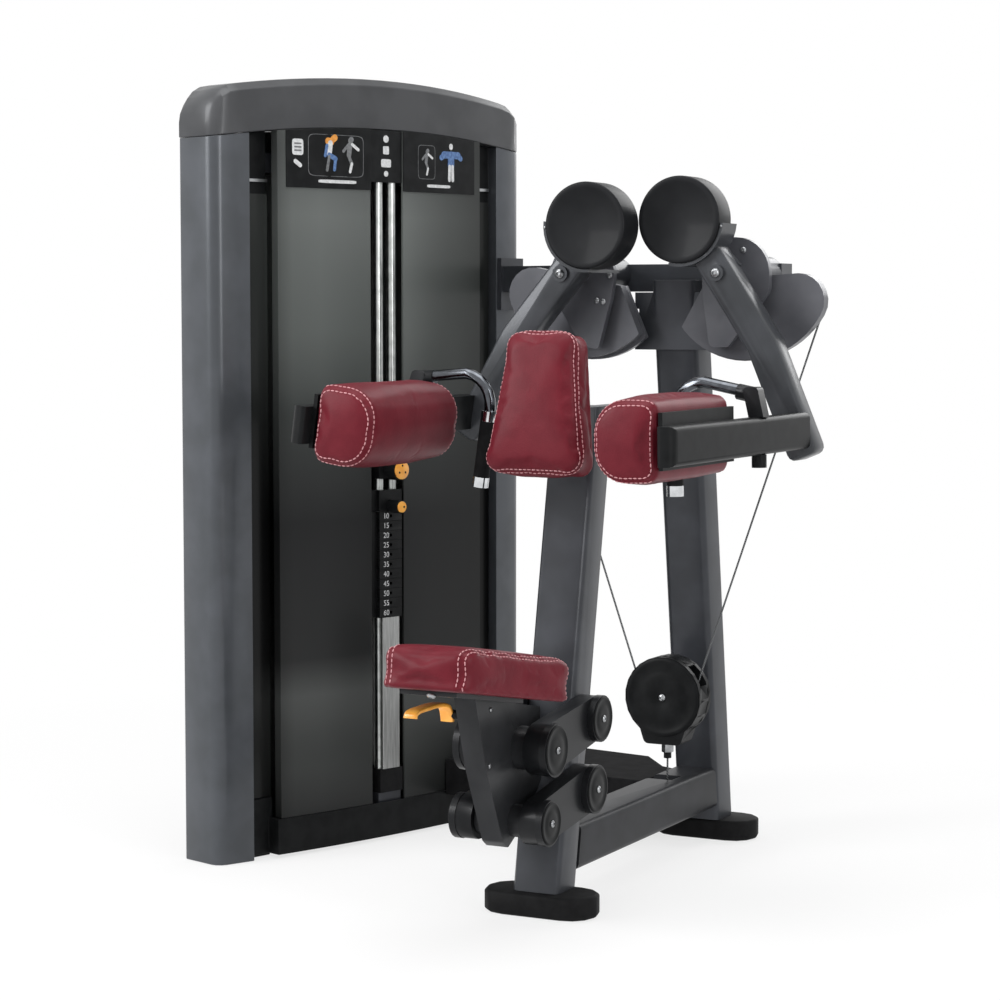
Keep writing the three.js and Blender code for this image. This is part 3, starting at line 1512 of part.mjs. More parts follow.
function carriage() {
  const upperY = upperColumnY - linkReach;
  const upperZ = upperColumnZ - linkDrop;
  const lowerY = lowerColumnY - linkReach;
  const lowerZ = lowerColumnZ - linkDrop;
  const plate = alongX(outline(carriageProfile), -carriageHalf, carriageHalf);
  const barrelHalf = halfTube - fit;
  const upperBarrel = alongX(circle(upperY, upperZ, barrelRadius), -barrelHalf, barrelHalf);
  const lowerBarrel = alongX(circle(lowerY, lowerZ, lowerBarrelRadius), -barrelHalf, barrelHalf);
  const boardHalf = seatRearHalf - seatCorner;
  const boardReach = seatLength / 2 - seatCorner;
  const board = block(-boardHalf, boardHalf, -boardReach, boardReach, -seatBoard, 0);
  board.translate(0, 0, -seatThick / 2 - fit).rotateX(seatTilt).translate(0, seatY, seatZ);
  const bores = [[upperY, upperZ], [lowerY, lowerZ]].map(([y, z]) => rod(
    [-tubeWidth, y, z], [tubeWidth, y, z], linkPin + running, guideSides,
  ));
  return cut(joined(plate, upperBarrel, lowerBarrel, board), ...bores);
}

function seatLever() {
  const paddle = outline([
    [leverPivotY + leverThick, leverPivotZ + leverThick, leverThick / 2],
    [leverPivotY - leverReach, leverPivotZ + 2 * leverThick, leverThick / 2],
    [leverPivotY - leverReach, leverPivotZ + leverThick, leverThick / 3],
    [leverPivotY + leverThick, leverPivotZ - leverThick, leverThick / 2],
  ]);
  const blade = alongX(paddle, leverX - leverHalf, leverX + leverHalf);
  const stub = alongX(
    circle(leverPivotY, leverPivotZ, leverThick - fit, rodSides), leverX, -carriageHalf - fit,
  );
  return joined(blade, stub);
}

function buildSeat() {
  add(machine, 'seat_upper_link', link(
    upperColumnY, upperColumnZ, upperColumnCap, upperCarriageCap, linkPin,
  ), paint());
  add(machine, 'seat_lower_link', link(
    lowerColumnY, lowerColumnZ, lowerColumnCap, lowerCarriageCap, linkPin,
  ), paint());
  add(machine, 'seat_carriage', carriage(), paint());
  const pad = cushion(
    [
      [-seatRearHalf, -seatLength / 2, seatCorner], [seatRearHalf, -seatLength / 2, seatCorner],
      [seatFrontHalf, seatLength / 2, seatCorner], [-seatFrontHalf, seatLength / 2, seatCorner],
    ],
    seatThick, cushionCrown, cushionEdge, cushionDraw,
  );
  pad.translate(0, 0, -seatThick / 2);
  pad.rotateX(seatTilt);
  pad.translate(0, seatY, seatZ);
  add(machine, 'seat_pad', pad, vinyl());
  add(machine, 'seat_lever', seatLever(), bright());
}

buildTower();
buildFrame();
buildArm(1, 'right', restRight);
buildArm(-1, 'left', restLeft);
buildCables();
buildSeat();

export default machine;
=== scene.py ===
"""Looks of the lateral raise machine: painted steel, smoked panels, vinyl cushions, cables.

Metres, +Z up, in the frame's own place. The camera stands where the photograph was taken.
"""

import json
import math

import bmesh
import bpy
import numpy as np
from mathutils import Matrix, Vector
from mathutils.bvhtree import BVHTree


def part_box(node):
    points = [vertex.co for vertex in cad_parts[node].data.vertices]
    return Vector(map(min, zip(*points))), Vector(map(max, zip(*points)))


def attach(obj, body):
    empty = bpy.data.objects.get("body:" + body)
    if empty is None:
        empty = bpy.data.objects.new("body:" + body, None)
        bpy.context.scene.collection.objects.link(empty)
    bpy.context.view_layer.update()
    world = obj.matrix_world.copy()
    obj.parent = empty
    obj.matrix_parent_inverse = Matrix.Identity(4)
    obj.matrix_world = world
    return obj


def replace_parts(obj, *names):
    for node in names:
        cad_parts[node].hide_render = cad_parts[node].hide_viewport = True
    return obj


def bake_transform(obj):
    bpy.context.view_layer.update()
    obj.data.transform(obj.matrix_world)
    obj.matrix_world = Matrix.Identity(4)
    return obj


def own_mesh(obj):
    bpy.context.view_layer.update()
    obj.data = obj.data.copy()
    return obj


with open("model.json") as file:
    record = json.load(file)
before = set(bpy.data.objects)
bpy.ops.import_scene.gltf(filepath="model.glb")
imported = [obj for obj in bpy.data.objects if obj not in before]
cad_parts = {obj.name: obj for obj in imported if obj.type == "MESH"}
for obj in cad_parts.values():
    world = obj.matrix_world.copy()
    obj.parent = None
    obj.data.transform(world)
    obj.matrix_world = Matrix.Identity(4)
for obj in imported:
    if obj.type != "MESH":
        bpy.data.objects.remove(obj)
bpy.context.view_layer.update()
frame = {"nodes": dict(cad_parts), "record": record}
scene = bpy.context.scene
BODY_OF = {
    node: body for body, members in frame["record"]["behaviour"]["bodies"].items() for node in members
}

MM = 0.001
UP = np.array([0.0, 0.0, 1.0])
TOWARDS_USER = np.array([0.0, -1.0, 0.0])
MACHINE_MIDDLE = (-0.2, 0.4, 0.9)

# Edges sharper than this stay hard: on dressed CAD pieces, and on the pieces made here
HARD_EDGE = math.radians(42)
PIECE_CREASE = math.radians(38)

# Tower: the middle of its front chord, its turn about the vertical, the directions along its front and
# out of it, and the bow of its front
TOWER_MIDDLE = np.array([-0.62496, 0.47261, 0.0])
TOWER_TURN = math.radians(72)
TOWER_ALONG = np.array([math.cos(TOWER_TURN), math.sin(TOWER_TURN), 0.0])
TOWER_OUT = np.array([math.sin(TOWER_TURN), -math.cos(TOWER_TURN), 0.0])
TOWER_HALF = 0.437
TOWER_BOW = 0.032
ARCH_TOP = 1.503
ARCH_DROP = 0.030
PLACARD_FACE = 0.0073
RECESS_EDGE = 0.3495
KNOB_HEIGHT = {"increment_weight": 0.7896, "selector_pin": 0.7116}
KNOB_ALONG = 0.009
KNOB_OUT = 0.070

# Arms: the pivots, how far each arm is turned at rest, and where a handle's clamp and collars start
PIVOT = np.array([0.169, 0.0, 1.2])
REST_TURN = {"right": math.radians(1), "left": math.radians(8)}
SIDE = {"right": 1, "left": -1}
CLAMP_START = 0.137
COLLAR_START = -0.272

# Round counterweights: how far inboard of the pivot, the front face's place and the thickness
COUNTERWEIGHTS = {"right": (0.072, 0.411, 0.066), "left": (0.082, 0.335, 0.073)}
COUNTERWEIGHT_UP = 0.106

# Middles of the cushions whose seams are placed by them
CHEST_MIDDLE = np.array([0.0, 0.0, 0.955])
SEAT_MIDDLE = np.array([0.0, -0.309, 0.494])

# Cables: the floating pulley, the cams, and the tangent that the arm cables follow
CABLE_RADIUS = 0.002
FLOAT_CENTRE = np.array([0.0, 0.593, 0.330])
FLOAT_RADIUS = 0.053
CAM_RADIUS = 0.178
CAM_ANCHOR = math.radians(-16)
TANGENT = math.radians(-19.1)


# ---- colours and nodes ----
def colour(code):
    """The linear value of an sRGB hex code, by the standard's curve."""
    channels = np.array([int(code[at : at + 2], 16) for at in (1, 3, 5)]) / 255
    linear = np.where(channels <= 0.04045, channels / 12.92, ((channels + 0.055) / 1.055) ** 2.4)
    return (*linear.tolist(), 1.0)


def add_node(tree, kind, sockets=None, stops=(), **settings):
    """Adds a shader node with its settings. A socket takes a value or another node's output, and a colour
    ramp takes stops of (place, hex code)."""
    made = tree.nodes.new("ShaderNode" + kind)
    for name, value in settings.items():
        setattr(made, name, value)
    for name, value in (sockets or {}).items():
        if isinstance(value, bpy.types.NodeSocket):
            tree.links.new(value, made.inputs[name])
        else:
            made.inputs[name].default_value = value
    if stops:
        elements = made.color_ramp.elements
        while len(elements) < len(stops):
            elements.new(0.5)
        for element, (place, code) in zip(elements, stops):
            element.position, element.color = place, colour(code)
    return made


def pattern_scale(size_mm):
    """The scale that makes a texture's features about this many millimetres wide."""
    return 1000 / size_mm


def surface(name, **sockets):
    """A material with one Principled shader; returns it, its tree, the shader and the object coordinates."""
    material = bpy.data.materials.new(name)
    material.use_nodes = True
    tree = material.node_tree
    shader = tree.nodes["Principled BSDF"]
    for socket, value in sockets.items():
        shader.inputs[socket.replace("_", " ")].default_value = value
    place = add_node(tree, "TexCoord").outputs["Object"]
    return material, tree, shader, place


def mottle(tree, shader, place, size_mm, dark, light):
    """Slow colour variation between two hex codes over blotches of a real size."""
    noise = add_node(tree, "TexNoise", {"Vector": place, "Scale": pattern_scale(size_mm), "Detail": 3.0})
    spread = 0.12
    stops = [(0.5 - spread, dark), (0.5 + spread, light)]
    tone = add_node(tree, "ValToRGB", {"Fac": noise.outputs["Fac"]}, stops)
    tree.links.new(tone.outputs["Color"], shader.inputs["Base Color"])


def grain(tree, shader, place, size_mm, depth_mm, strength):
    """A fine random relief of a real size and depth."""
    noise = add_node(tree, "TexNoise", {"Vector": place, "Scale": pattern_scale(size_mm), "Detail": 2.0})
    bump = add_node(
        tree, "Bump",
        {"Height": noise.outputs["Fac"], "Distance": depth_mm * MM, "Strength": strength},
    )
    tree.links.new(bump.outputs["Normal"], shader.inputs["Normal"])


def patterned(tree, shader, pattern, stops, depth_mm, strength):
    """Takes a surface's tone, through (place, hex code) stops, and its relief from one pattern."""
    tone = add_node(tree, "ValToRGB", {"Fac": pattern}, stops)
    tree.links.new(tone.outputs["Color"], shader.inputs["Base Color"])
    bump = add_node(tree, "Bump", {"Height": pattern, "Distance": depth_mm * MM, "Strength": strength})
    tree.links.new(bump.outputs["Normal"], shader.inputs["Normal"])


def finish(name, blotch_mm, dark, light, relief=None, **sockets):
    """A material mottled between two hex codes, with a grain of a given size, depth and strength."""
    material, tree, shader, place = surface(name, **sockets)
    mottle(tree, shader, place, blotch_mm, dark, light)
    if relief:
        grain(tree, shader, place, *relief)
    return material


# ---- materials ----
def powder_coat(name, dark, light, gloss=0.34, shine=0.25):
    """Powder-coated steel, sprayed and baked: a satin skin with a slight orange peel."""
    return finish(
        name, 90, dark, light, (2.2, 0.12, 0.18), Metallic=shine, Roughness=gloss,
        Specular_IOR_Level=shine, Coat_Weight=shine / 3, Coat_Roughness=0.12,
    )


def tower_place(tree, place):
    """How far along the tower's front a point is, in metres from its middle."""
    spot = add_node(tree, "VectorMath", {0: place, 1: tuple(TOWER_MIDDLE)}, operation="SUBTRACT")
    along = add_node(
        tree, "VectorMath", {0: spot.outputs["Vector"], 1: tuple(TOWER_ALONG)}, operation="DOT_PRODUCT",
    )
    return along.outputs["Value"]


def smoked_panel(name, recess_shade):
    """Smoked acrylic over a dark backing, with light and shade painted into its colour: near black at the
    middle and paler towards the top and bottom, a painted see-through of the dark stack behind it, and darker
    towards the sides, painted shade where the eye looks through more of it."""
    material, tree, shader, place = surface(
        name, Roughness=0.28, Specular_IOR_Level=0.16, Coat_Weight=0.05, Coat_Roughness=0.1,
    )
    height = add_node(tree, "SeparateXYZ", {"Vector": place}).outputs["Z"]
    share = add_node(tree, "MapRange", {"Value": height, "From Min": 0.0, "From Max": 1.5})
    # Painted see-through: near black where the dark stack stands behind the panel, paler above and below it
    seen_through_bands = [
        (0.05, "#262727"), (0.12, "#424443"), (0.22, "#525453"), (0.27, "#282929"), (0.46, "#1e1f20"),
        (0.60, "#414443"), (0.72, "#626664"), (0.88, "#6e7270"), (0.97, "#565958"),
    ]
    tone = add_node(tree, "ValToRGB", {"Fac": share.outputs["Result"]}, seen_through_bands).outputs["Color"]
    along = add_node(
        tree, "MapRange", {"Value": tower_place(tree, place), "From Min": -0.3, "From Max": 0.3},
    )
    # Painted shade: darker towards the sides, where the eye looks through more of the acrylic
    side_shade_stops = [
        (0.0, "#b0b0b0"), (0.08, "#f4f4f4"), (0.2, "#ffffff"), (0.42, "#e8e8e8"), (0.58, "#ffffff"),
        (0.8, "#c4c4c4"), (1.0, "#8c8c8c"),
    ]
    side_shade = add_node(tree, "ValToRGB", {"Fac": along.outputs["Result"]}, side_shade_stops).outputs["Color"]
    # The recess shade multiplies in a grey: painted shade for a copy set back in a recess
    for amount, layer in ((1.0, side_shade), (recess_shade, colour("#4a4a4a"))):
        mixed = {"Fac": amount, "Color1": tone, "Color2": layer}
        tone = add_node(tree, "MixRGB", mixed, blend_type="MULTIPLY").outputs["Color"]
    tree.links.new(tone, shader.inputs["Base Color"])
    grain(tree, shader, place, 40, 0.4, 0.08)
    return material


def moulded_plastic(name, dark, light, gloss=0.4, shine=0.1):
    """Moulded nylon and ABS: black with a fine spark-eroded grain."""
    relief = (1.0, 0.06, 0.35)
    return finish(name, 30, dark, light, relief, Roughness=gloss, Specular_IOR_Level=shine)


def upholstery_vinyl():
    """Upholstery vinyl, calendered with a leather grain: small pebbles between creases."""
    material, tree, shader, place = surface("upholstery_vinyl", Roughness=0.42, Specular_IOR_Level=0.13)
    mottle(tree, shader, place, 40, "#5f1a24", "#661e28")
    pebbles = add_node(
        tree, "TexVoronoi", {"Vector": place, "Scale": pattern_scale(2.6)}, feature="SMOOTH_F1",
    )
    creases = add_node(tree, "TexNoise", {"Vector": place, "Scale": pattern_scale(9), "Detail": 4.0})
    heights = {0: pebbles.outputs["Distance"], 1: creases.outputs["Fac"]}
    relief = add_node(tree, "Math", heights, operation="ADD").outputs["Value"]
    bump = add_node(tree, "Bump", {"Height": relief, "Distance": 0.35 * MM, "Strength": 0.4})
    tree.links.new(bump.outputs["Normal"], shader.inputs["Normal"])
    return material


def plated_steel(name, dark, light, gloss):
    """Plated steel: zinc or chrome over a turned surface, which leaves faint rings of tone."""
    return finish(name, 20, dark, light, (1.5, 0.02, 0.2), Metallic=1.0, Roughness=gloss)


def brushed_steel():
    """Steel brushed along its length: fine upright scratches, drawn coarser than they are."""
    material, tree, shader, place = surface("brushed_steel", Metallic=0.9, Roughness=0.38)
    stretched = add_node(tree, "Mapping", {"Vector": place, "Scale": (1.0, 1.0, 0.02)})
    scratches = add_node(
        tree, "TexNoise",
        {"Vector": stretched.outputs["Vector"], "Scale": pattern_scale(1.2), "Detail": 3.0},
    )
    stops = [(0.35, "#989998"), (0.65, "#c8c9c8")]
    patterned(tree, shader, scratches.outputs["Fac"], stops, 0.05, 0.4)
    return material


def wire_rope():
    """Steel wire rope: bright strands, laid at a slant, with painted shade in the grooves between them."""
    material, tree, shader, place = surface("wire_rope", Metallic=0.9, Roughness=0.35)
    strands = add_node(
        tree, "TexWave", {"Vector": place, "Scale": pattern_scale(9), "Distortion": 0.5},
        wave_type="BANDS", bands_direction="DIAGONAL",
    )
    # Dark where the relief is low: painted shade between the strands
    stops = [(0.2, "#2e2f30"), (0.8, "#7c7e80")]
    patterned(tree, shader, strands.outputs["Fac"], stops, 0.3, 0.6)
    return material


def printed_ink(name, dark, light):
    """Screen-printed ink on a plastic sheet: flat and a little uneven."""
    return finish(name, 6, dark, light, Roughness=0.5)


FRAME_PAINT = powder_coat("powder_coated_steel", "#37393d", "#3f4146")
PILLAR_PAINT = powder_coat("powder_coated_pillar", "#46494d", "#4e5156", 0.3, 0.35)
# A darker copy of the powder coat for the base beam: painted shade against the lamp light on its faces
BASE_PAINT_SHADED = powder_coat("powder_coated_base", "#2b2c2e", "#333437", 0.4, 0.08)
# Lighter copies of the powder coat for the arms, and for the hub plates and cams: painted light on their lit
# faces
ARM_PAINT_LIT = powder_coat("powder_coated_arm", "#3a3c3f", "#434549", 0.3)
HUB_PAINT_LIT = powder_coat("powder_coated_hub", "#54555a", "#5e5f64", 0.34)
LINK_PAINT = powder_coat("powder_coated_link", "#1a1b1d", "#212224", 0.34, 0.16)
PLATE_PAINT = powder_coat("powder_coated_carriage", "#292a2c", "#313234", 0.36, 0.16)
CAP_PAINT = powder_coat("powder_coated_cap", "#434446", "#4a4b4d", 0.36, 0.2)
DISC_PAINT = powder_coat("powder_coated_weight", "#18191b", "#1e1f21", 0.46, 0.1)
SMOKED = smoked_panel("smoked_acrylic", 0.0)
# A darker copy of the smoked acrylic for the panels set back beside the shrouds: painted shade in the recesses
SMOKED_RECESS_SHADED = smoked_panel("smoked_acrylic_recess", 0.6)
BLACK = moulded_plastic("moulded_nylon", "#121314", "#191a1b")
MATT_COVER = moulded_plastic("moulded_floor_cover", "#1a1a1b", "#212122", 0.6, 0.01)
DARK_PANEL = moulded_plastic("polycarbonate_placard", "#161718", "#1e1f20", 0.35)
# Moulded rubber: matt, with a bloom that greys it in patches
RUBBER = finish(
    "moulded_rubber", 25, "#121213", "#1a1a1b", (1.6, 0.15, 0.4), Roughness=0.7, Specular_IOR_Level=0.12,
)
VINYL = upholstery_vinyl()
# Bonded polyester thread: pale pink, fuzzy enough to be matt
THREAD = finish("sewing_thread", 4, "#b87d82", "#d09a9d", (0.8, 0.1, 0.5), Roughness=0.7)
# Glass-filled nylon in signal orange, smooth from a polished mould
ORANGE = finish("orange_nylon", 18, "#f4a43c", "#ffb850", (3, 0.05, 0.15), Roughness=0.32, Coat_Weight=0.2)
CHROME = plated_steel("chromed_steel", "#c9cbcd", "#dcdee0", 0.12)
# Chrome with its colour darkened, for the handles' tubes: a painted reflection of dark surroundings
CHROME_DARK_REFLECTION = plated_steel("chromed_steel_dark_reflection", "#4c4e52", "#606368", 0.18)
ROD_STEEL = plated_steel("ground_steel_rod", "#a9acaa", "#bfc2c0", 0.28)
ZINC = plated_steel("zinc_plated_steel", "#8f9193", "#aeb0b2", 0.3)
BRUSHED = brushed_steel()
# Cast iron weight plates, painted satin black over a sandy casting skin
PLATES = finish(
    "painted_cast_iron", 35, "#101112", "#191a1b", (2.5, 0.25, 0.35), Metallic=0.2, Roughness=0.42,
    Specular_IOR_Level=0.2,
)
ROPE = wire_rope()
WHITE_INK = printed_ink("white_ink", "#c9cbcc", "#dedfe0")
ORANGE_INK = printed_ink("orange_ink", "#d08a35", "#e39a44")
BLUE_INK = printed_ink("blue_ink", "#3f5f90", "#5d7fb0")
GREY_INK = printed_ink("grey_ink", "#5c5e60", "#76787a")


# ---- meshes ----
def placed(name, data):
    """A new object in the scene, at the origin."""
    made = bpy.data.objects.new(name, data)
    scene.collection.objects.link(made)
    return made


def piece(name, points, faces, material, body, smooth=True, slot=None):
    """Puts points and faces in a mesh, with its normals turned outwards, and rides it on a body, if any."""
    mesh = bpy.data.meshes.new(name)
    mesh.from_pydata(np.asarray(points, float).reshape(-1, 3).tolist(), [], faces)
    shape = bmesh.new()
    shape.from_mesh(mesh)
    bmesh.ops.recalc_face_normals(shape, faces=shape.faces)
    shape.to_mesh(mesh)
    shape.free()
    if smooth:
        mesh.shade_smooth()
        mesh.set_sharp_from_angle(angle=PIECE_CREASE)
    mesh.materials.append(material)
    made = placed(name, mesh)
    if body:
        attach(made, body)
    return made


def grid_faces(rows, columns, start=0):
    """Quads between neighbouring rows of a grid whose rows close on themselves, and both end caps."""
    row, column = np.meshgrid(np.arange(rows - 1), np.arange(columns), indexing="ij")
    after = (column + 1) % columns
    here, above = row * columns, (row + 1) * columns
    quads = np.stack([here + column, here + after, above + after, above + column], axis=-1).reshape(-1, 4)
    ring = np.arange(columns) + start
    return (quads + start).tolist() + [ring[::-1].tolist(), (ring + (rows - 1) * columns).tolist()]


def directions(along):
    """A direction's unit vector, and two more square to it and to each other."""
    along = np.asarray(along, float) / np.linalg.norm(along)
    first = np.cross(UP if abs(along[2]) < 0.9 else [1.0, 0.0, 0.0], along)
    first /= np.linalg.norm(first)
    return along, first, np.cross(along, first)


def turned(profile, centre, along, sides):
    """A profile of (radius, height) pairs spun round an axis: each row is a circle at its height."""
    along, first, second = directions(along)
    radius, height = np.asarray(profile, float).T
    circle = round_section(1.0, sides) @ [first, second]
    points = centre + height[:, None, None] * along + radius[:, None, None] * circle
    return points.reshape(-1, 3), grid_faces(len(radius), sides)


def swept(path, section):
    """A closed section carried along a path in one plane: each row is the section square to it."""
    path, section = np.asarray(path, float), np.asarray(section, float)
    heading = np.gradient(path, axis=0)
    heading /= np.linalg.norm(heading, axis=1, keepdims=True)
    level = np.linalg.svd(path - path.mean(0))[2][2]
    side = np.cross(heading, level)
    side /= np.linalg.norm(side, axis=1, keepdims=True)
    points = (
        path[:, None, :]
        + section[None, :, 0, None] * side[:, None, :]
        + section[None, :, 1, None] * level
    )
    return points.reshape(-1, 3), grid_faces(len(path), len(section))


def round_section(radius, sides=12):
    """A circle of points: cosine and sine of even angles."""
    angle = np.linspace(0, 2 * np.pi, sides, endpoint=False)
    return np.stack([np.cos(angle), np.sin(angle)], axis=1) * radius


def oval_section(half_width, half_height, power=0.5, sides=24):
    """A rounded rectangle: cosine and sine with their sizes raised to a power below one."""
    wave = round_section(1.0, sides)
    return np.sign(wave) * np.abs(wave) ** power * [half_width, half_height]


def smooth_path(corners, steps=60):
    """A curve through corner points: a uniform B-spline that starts and ends at the outer ones."""
    corners = np.asarray(corners, float)
    padded = np.concatenate([corners[:1] * 2 - corners[1:2], corners, corners[-1:] * 2 - corners[-2:-1]])
    place = np.linspace(0, len(corners) - 1 - 1e-6, steps)
    index = place.astype(int)
    t = (place - index)[:, None]
    before, here, there, after = (padded[index + shift] for shift in range(4))
    return (
        (1 - t) ** 3 * before
        + (3 * t**3 - 6 * t**2 + 4) * here
        + (-3 * t**3 + 3 * t**2 + 3 * t + 1) * there
        + t**3 * after
    ) / 6


def merged(node):
    """A CAD node's mesh as a bmesh, with its loose triangles joined at their corners."""
    shape = bmesh.new()
    shape.from_mesh(frame["nodes"][node].data)
    bmesh.ops.remove_doubles(shape, verts=shape.verts, dist=0.01 * MM)
    return shape


def dressed(node, material, round_mm, parts=()):
    """The CAD node again with hard edges rounded and curved faces shaded smooth. Parts are pairs of another
    finish and a test of the faces' middles that it is for."""
    shape = merged(node)
    bmesh.ops.dissolve_limit(
        shape, angle_limit=math.radians(0.6), verts=shape.verts[:], edges=shape.edges[:],
    )
    mesh = bpy.data.meshes.new(node + "_finish")
    shape.to_mesh(mesh)
    shape.free()
    mesh.shade_smooth()
    mesh.set_sharp_from_angle(angle=HARD_EDGE)
    mesh.materials.append(material)
    middles = np.empty(len(mesh.polygons) * 3)
    mesh.polygons.foreach_get("center", middles)
    middles = middles.reshape(-1, 3)
    chosen = np.zeros(len(middles), int)
    for index, (other, test) in enumerate(parts, 1):
        mesh.materials.append(other)
        chosen[test(middles)] = index
    mesh.polygons.foreach_set("material_index", chosen)
    made = placed(node + "_finish", mesh)
    rounding = made.modifiers.new("rounded edges", "BEVEL")
    rounding.width = round_mm * MM
    rounding.segments = 3
    rounding.limit_method = "ANGLE"
    rounding.angle_limit = HARD_EDGE
    rounding.harden_normals = True
    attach(made, BODY_OF[node])
    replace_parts(made, node)
    return made


# ---- places ----
def front(x):
    """How far the tower's bowed front stands behind its own chord, at a place along it."""
    radius = (TOWER_HALF**2 + TOWER_BOW**2) / (2 * TOWER_BOW)
    return radius - TOWER_BOW - np.sqrt(radius**2 - np.asarray(x) ** 2)


def tower_point(x, y, z):
    """World places from the tower's own: x along its front, y back from it and z up."""
    x, y, z = (value[..., None] for value in np.broadcast_arrays(x, y, z))
    return TOWER_MIDDLE + x * TOWER_ALONG - y * TOWER_OUT + z * UP


def on_tower(outline, proud):
    """Points of the tower's bowed front, given as (x, z), moved out by a distance."""
    x, z = np.asarray(outline, float).T
    return tower_point(x, front(x) - proud, z)


def on_arm(name, out, y, up):
    """A point of an arm, given from its pivot, turned as the arm is at rest."""
    side, turn = SIDE[name], REST_TURN[name]
    x = out * math.cos(turn) - up * math.sin(turn)
    z = out * math.sin(turn) + up * math.cos(turn)
    return np.array([side * (PIVOT[0] + x), y, PIVOT[2] + z])


def arm_local(name, points):
    """How far out from the pivot and up points are, with the arm's turn taken out."""
    turn = REST_TURN[name]
    x, z = SIDE[name] * points[:, 0] - PIVOT[0], points[:, 2] - PIVOT[2]
    return x * math.cos(turn) + z * math.sin(turn), z * math.cos(turn) - x * math.sin(turn)


# ---- cushions ----
def applied(holder):
    """An object's mesh as its modifiers leave it."""
    return bpy.data.meshes.new_from_object(holder.evaluated_get(bpy.context.evaluated_depsgraph_get()))


def remeshed(points, faces, voxel):
    """A closed mesh rebuilt from voxels, so that its faces are even in size."""
    mesh = bpy.data.meshes.new("remesh")
    mesh.from_pydata(points.tolist(), [], faces)
    holder = placed("remesh", mesh)
    voxels = holder.modifiers.new("voxels", "REMESH")
    voxels.mode = "VOXEL"
    voxels.voxel_size = voxel
    result = applied(holder)
    bpy.data.objects.remove(holder)
    return result


def coordinates(mesh, field="co"):
    """A mesh's points, or its vertex normals, as an array."""
    values = np.empty(len(mesh.vertices) * 3)
    if field == "normal":
        mesh.vertex_normals.foreach_get("vector", values)
    else:
        mesh.vertices.foreach_get("co", values)
    return values.reshape(-1, 3)


def swollen(holder, cap, pressed, frames=20):
    """Where the points go when cloth holds air at a little pressure, moved by a cap at most and not towards
    the plate that the cushion is pressed on."""
    start, normals = coordinates(holder.data), coordinates(holder.data, "normal")
    cloth = holder.modifiers.new("stuffing", "CLOTH")
    cloth.settings.use_pressure = True
    cloth.settings.uniform_pressure_force = 4
    cloth.settings.effector_weights.gravity = 0
    cloth.point_cache.frame_start = 1
    cloth.point_cache.frame_end = frames
    for step in range(1, frames + 1):
        scene.frame_set(step)
    evaluated = holder.evaluated_get(bpy.context.evaluated_depsgraph_get())
    moved = coordinates(evaluated.to_mesh()) - start
    evaluated.to_mesh_clear()
    holder.modifiers.clear()
    scene.frame_set(1)
    length = np.linalg.norm(moved, axis=1, keepdims=True)
    moved *= np.minimum(1, cap / np.maximum(length, 1e-9))
    facing = np.clip(normals @ pressed, 0, 1)[:, None]
    return start + moved * (1 - facing) ** 2


def cushion(node, pressed, shrink=(0.99, 0.99, 0.99), cap=0.005, voxel=0.005):
    """A padded piece: the CAD cushion, a little smaller, remeshed, swollen as cloth and subdivided once."""
    shape = merged(node)
    base = bpy.data.meshes.new(node + "_base")
    shape.to_mesh(base)
    shape.free()
    points = coordinates(base)
    faces = [tuple(face.vertices) for face in base.polygons]
    middle = (points.max(0) + points.min(0)) / 2
    pressed = np.asarray(pressed, float) / np.linalg.norm(pressed)
    smaller = middle + (points - middle) * np.array(shrink)
    smaller += pressed * (np.max(points @ pressed) - np.max(smaller @ pressed))
    mesh = remeshed(smaller, faces, voxel)
    made = placed(node + "_cushion", mesh)
    mesh.vertices.foreach_set("co", swollen(made, cap, pressed).ravel())
    finer = made.modifiers.new("finer", "SUBSURF")
    finer.levels = finer.render_levels = 1
    final = applied(made)
    made.modifiers.clear()
    made.data = final
    final.name = node + "_cushion"
    final.materials.clear()
    final.materials.append(VINYL)
    final.shade_smooth()
    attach(made, BODY_OF[node])
    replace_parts(made, node)
    return made


def grooved(pad, point, normal, depth=0.0016, width=0.0035):
    """Draws a seam in: points near its plane sink along their normals by a bell curve of their distance."""
    mesh = pad.data
    points, normals = coordinates(mesh), coordinates(mesh, "normal")
    distance = (points - point) @ normal
    points -= normals * (depth * np.exp(-((distance / width) ** 2)))[:, None]
    mesh.vertices.foreach_set("co", points.ravel())
    mesh.update()


def plane_loop(pad, point, normal, spacing):
    """The closed line in which a plane cuts a pad, as even points, with the surface's normals there."""
    shape = bmesh.new()
    shape.from_mesh(pad.data)
    tree = BVHTree.FromBMesh(shape)
    cut = bmesh.ops.bisect_plane(
        shape, geom=shape.verts[:] + shape.edges[:] + shape.faces[:], plane_co=point, plane_no=normal,
    )
    neighbours = {}
    for edge in cut["geom_cut"]:
        if isinstance(edge, bmesh.types.BMEdge):
            for here in edge.verts:
                neighbours.setdefault(here, []).append(edge.other_vert(here))
    loops, left = [], dict.fromkeys(neighbours)
    while left:
        here, loop = next(iter(left)), []
        while here is not None:
            loop.append(here)
            del left[here]
            here = next((vertex for vertex in neighbours[here] if vertex in left), None)
        loops.append(loop)
    line = np.array([vertex.co for vertex in max(loops, key=len)])
    shape.free()
    closed = np.concatenate([line, line[:1]])
    length = np.concatenate([[0], np.cumsum(np.linalg.norm(np.diff(closed, axis=0), axis=1))])
    count = int(length[-1] / spacing)
    places = np.arange(count) * length[-1] / count
    even = np.stack([np.interp(places, length, closed[:, axis]) for axis in range(3)], axis=1)
    normals = np.array([tree.find_nearest(Vector(place))[1] for place in even])
    return even, normals


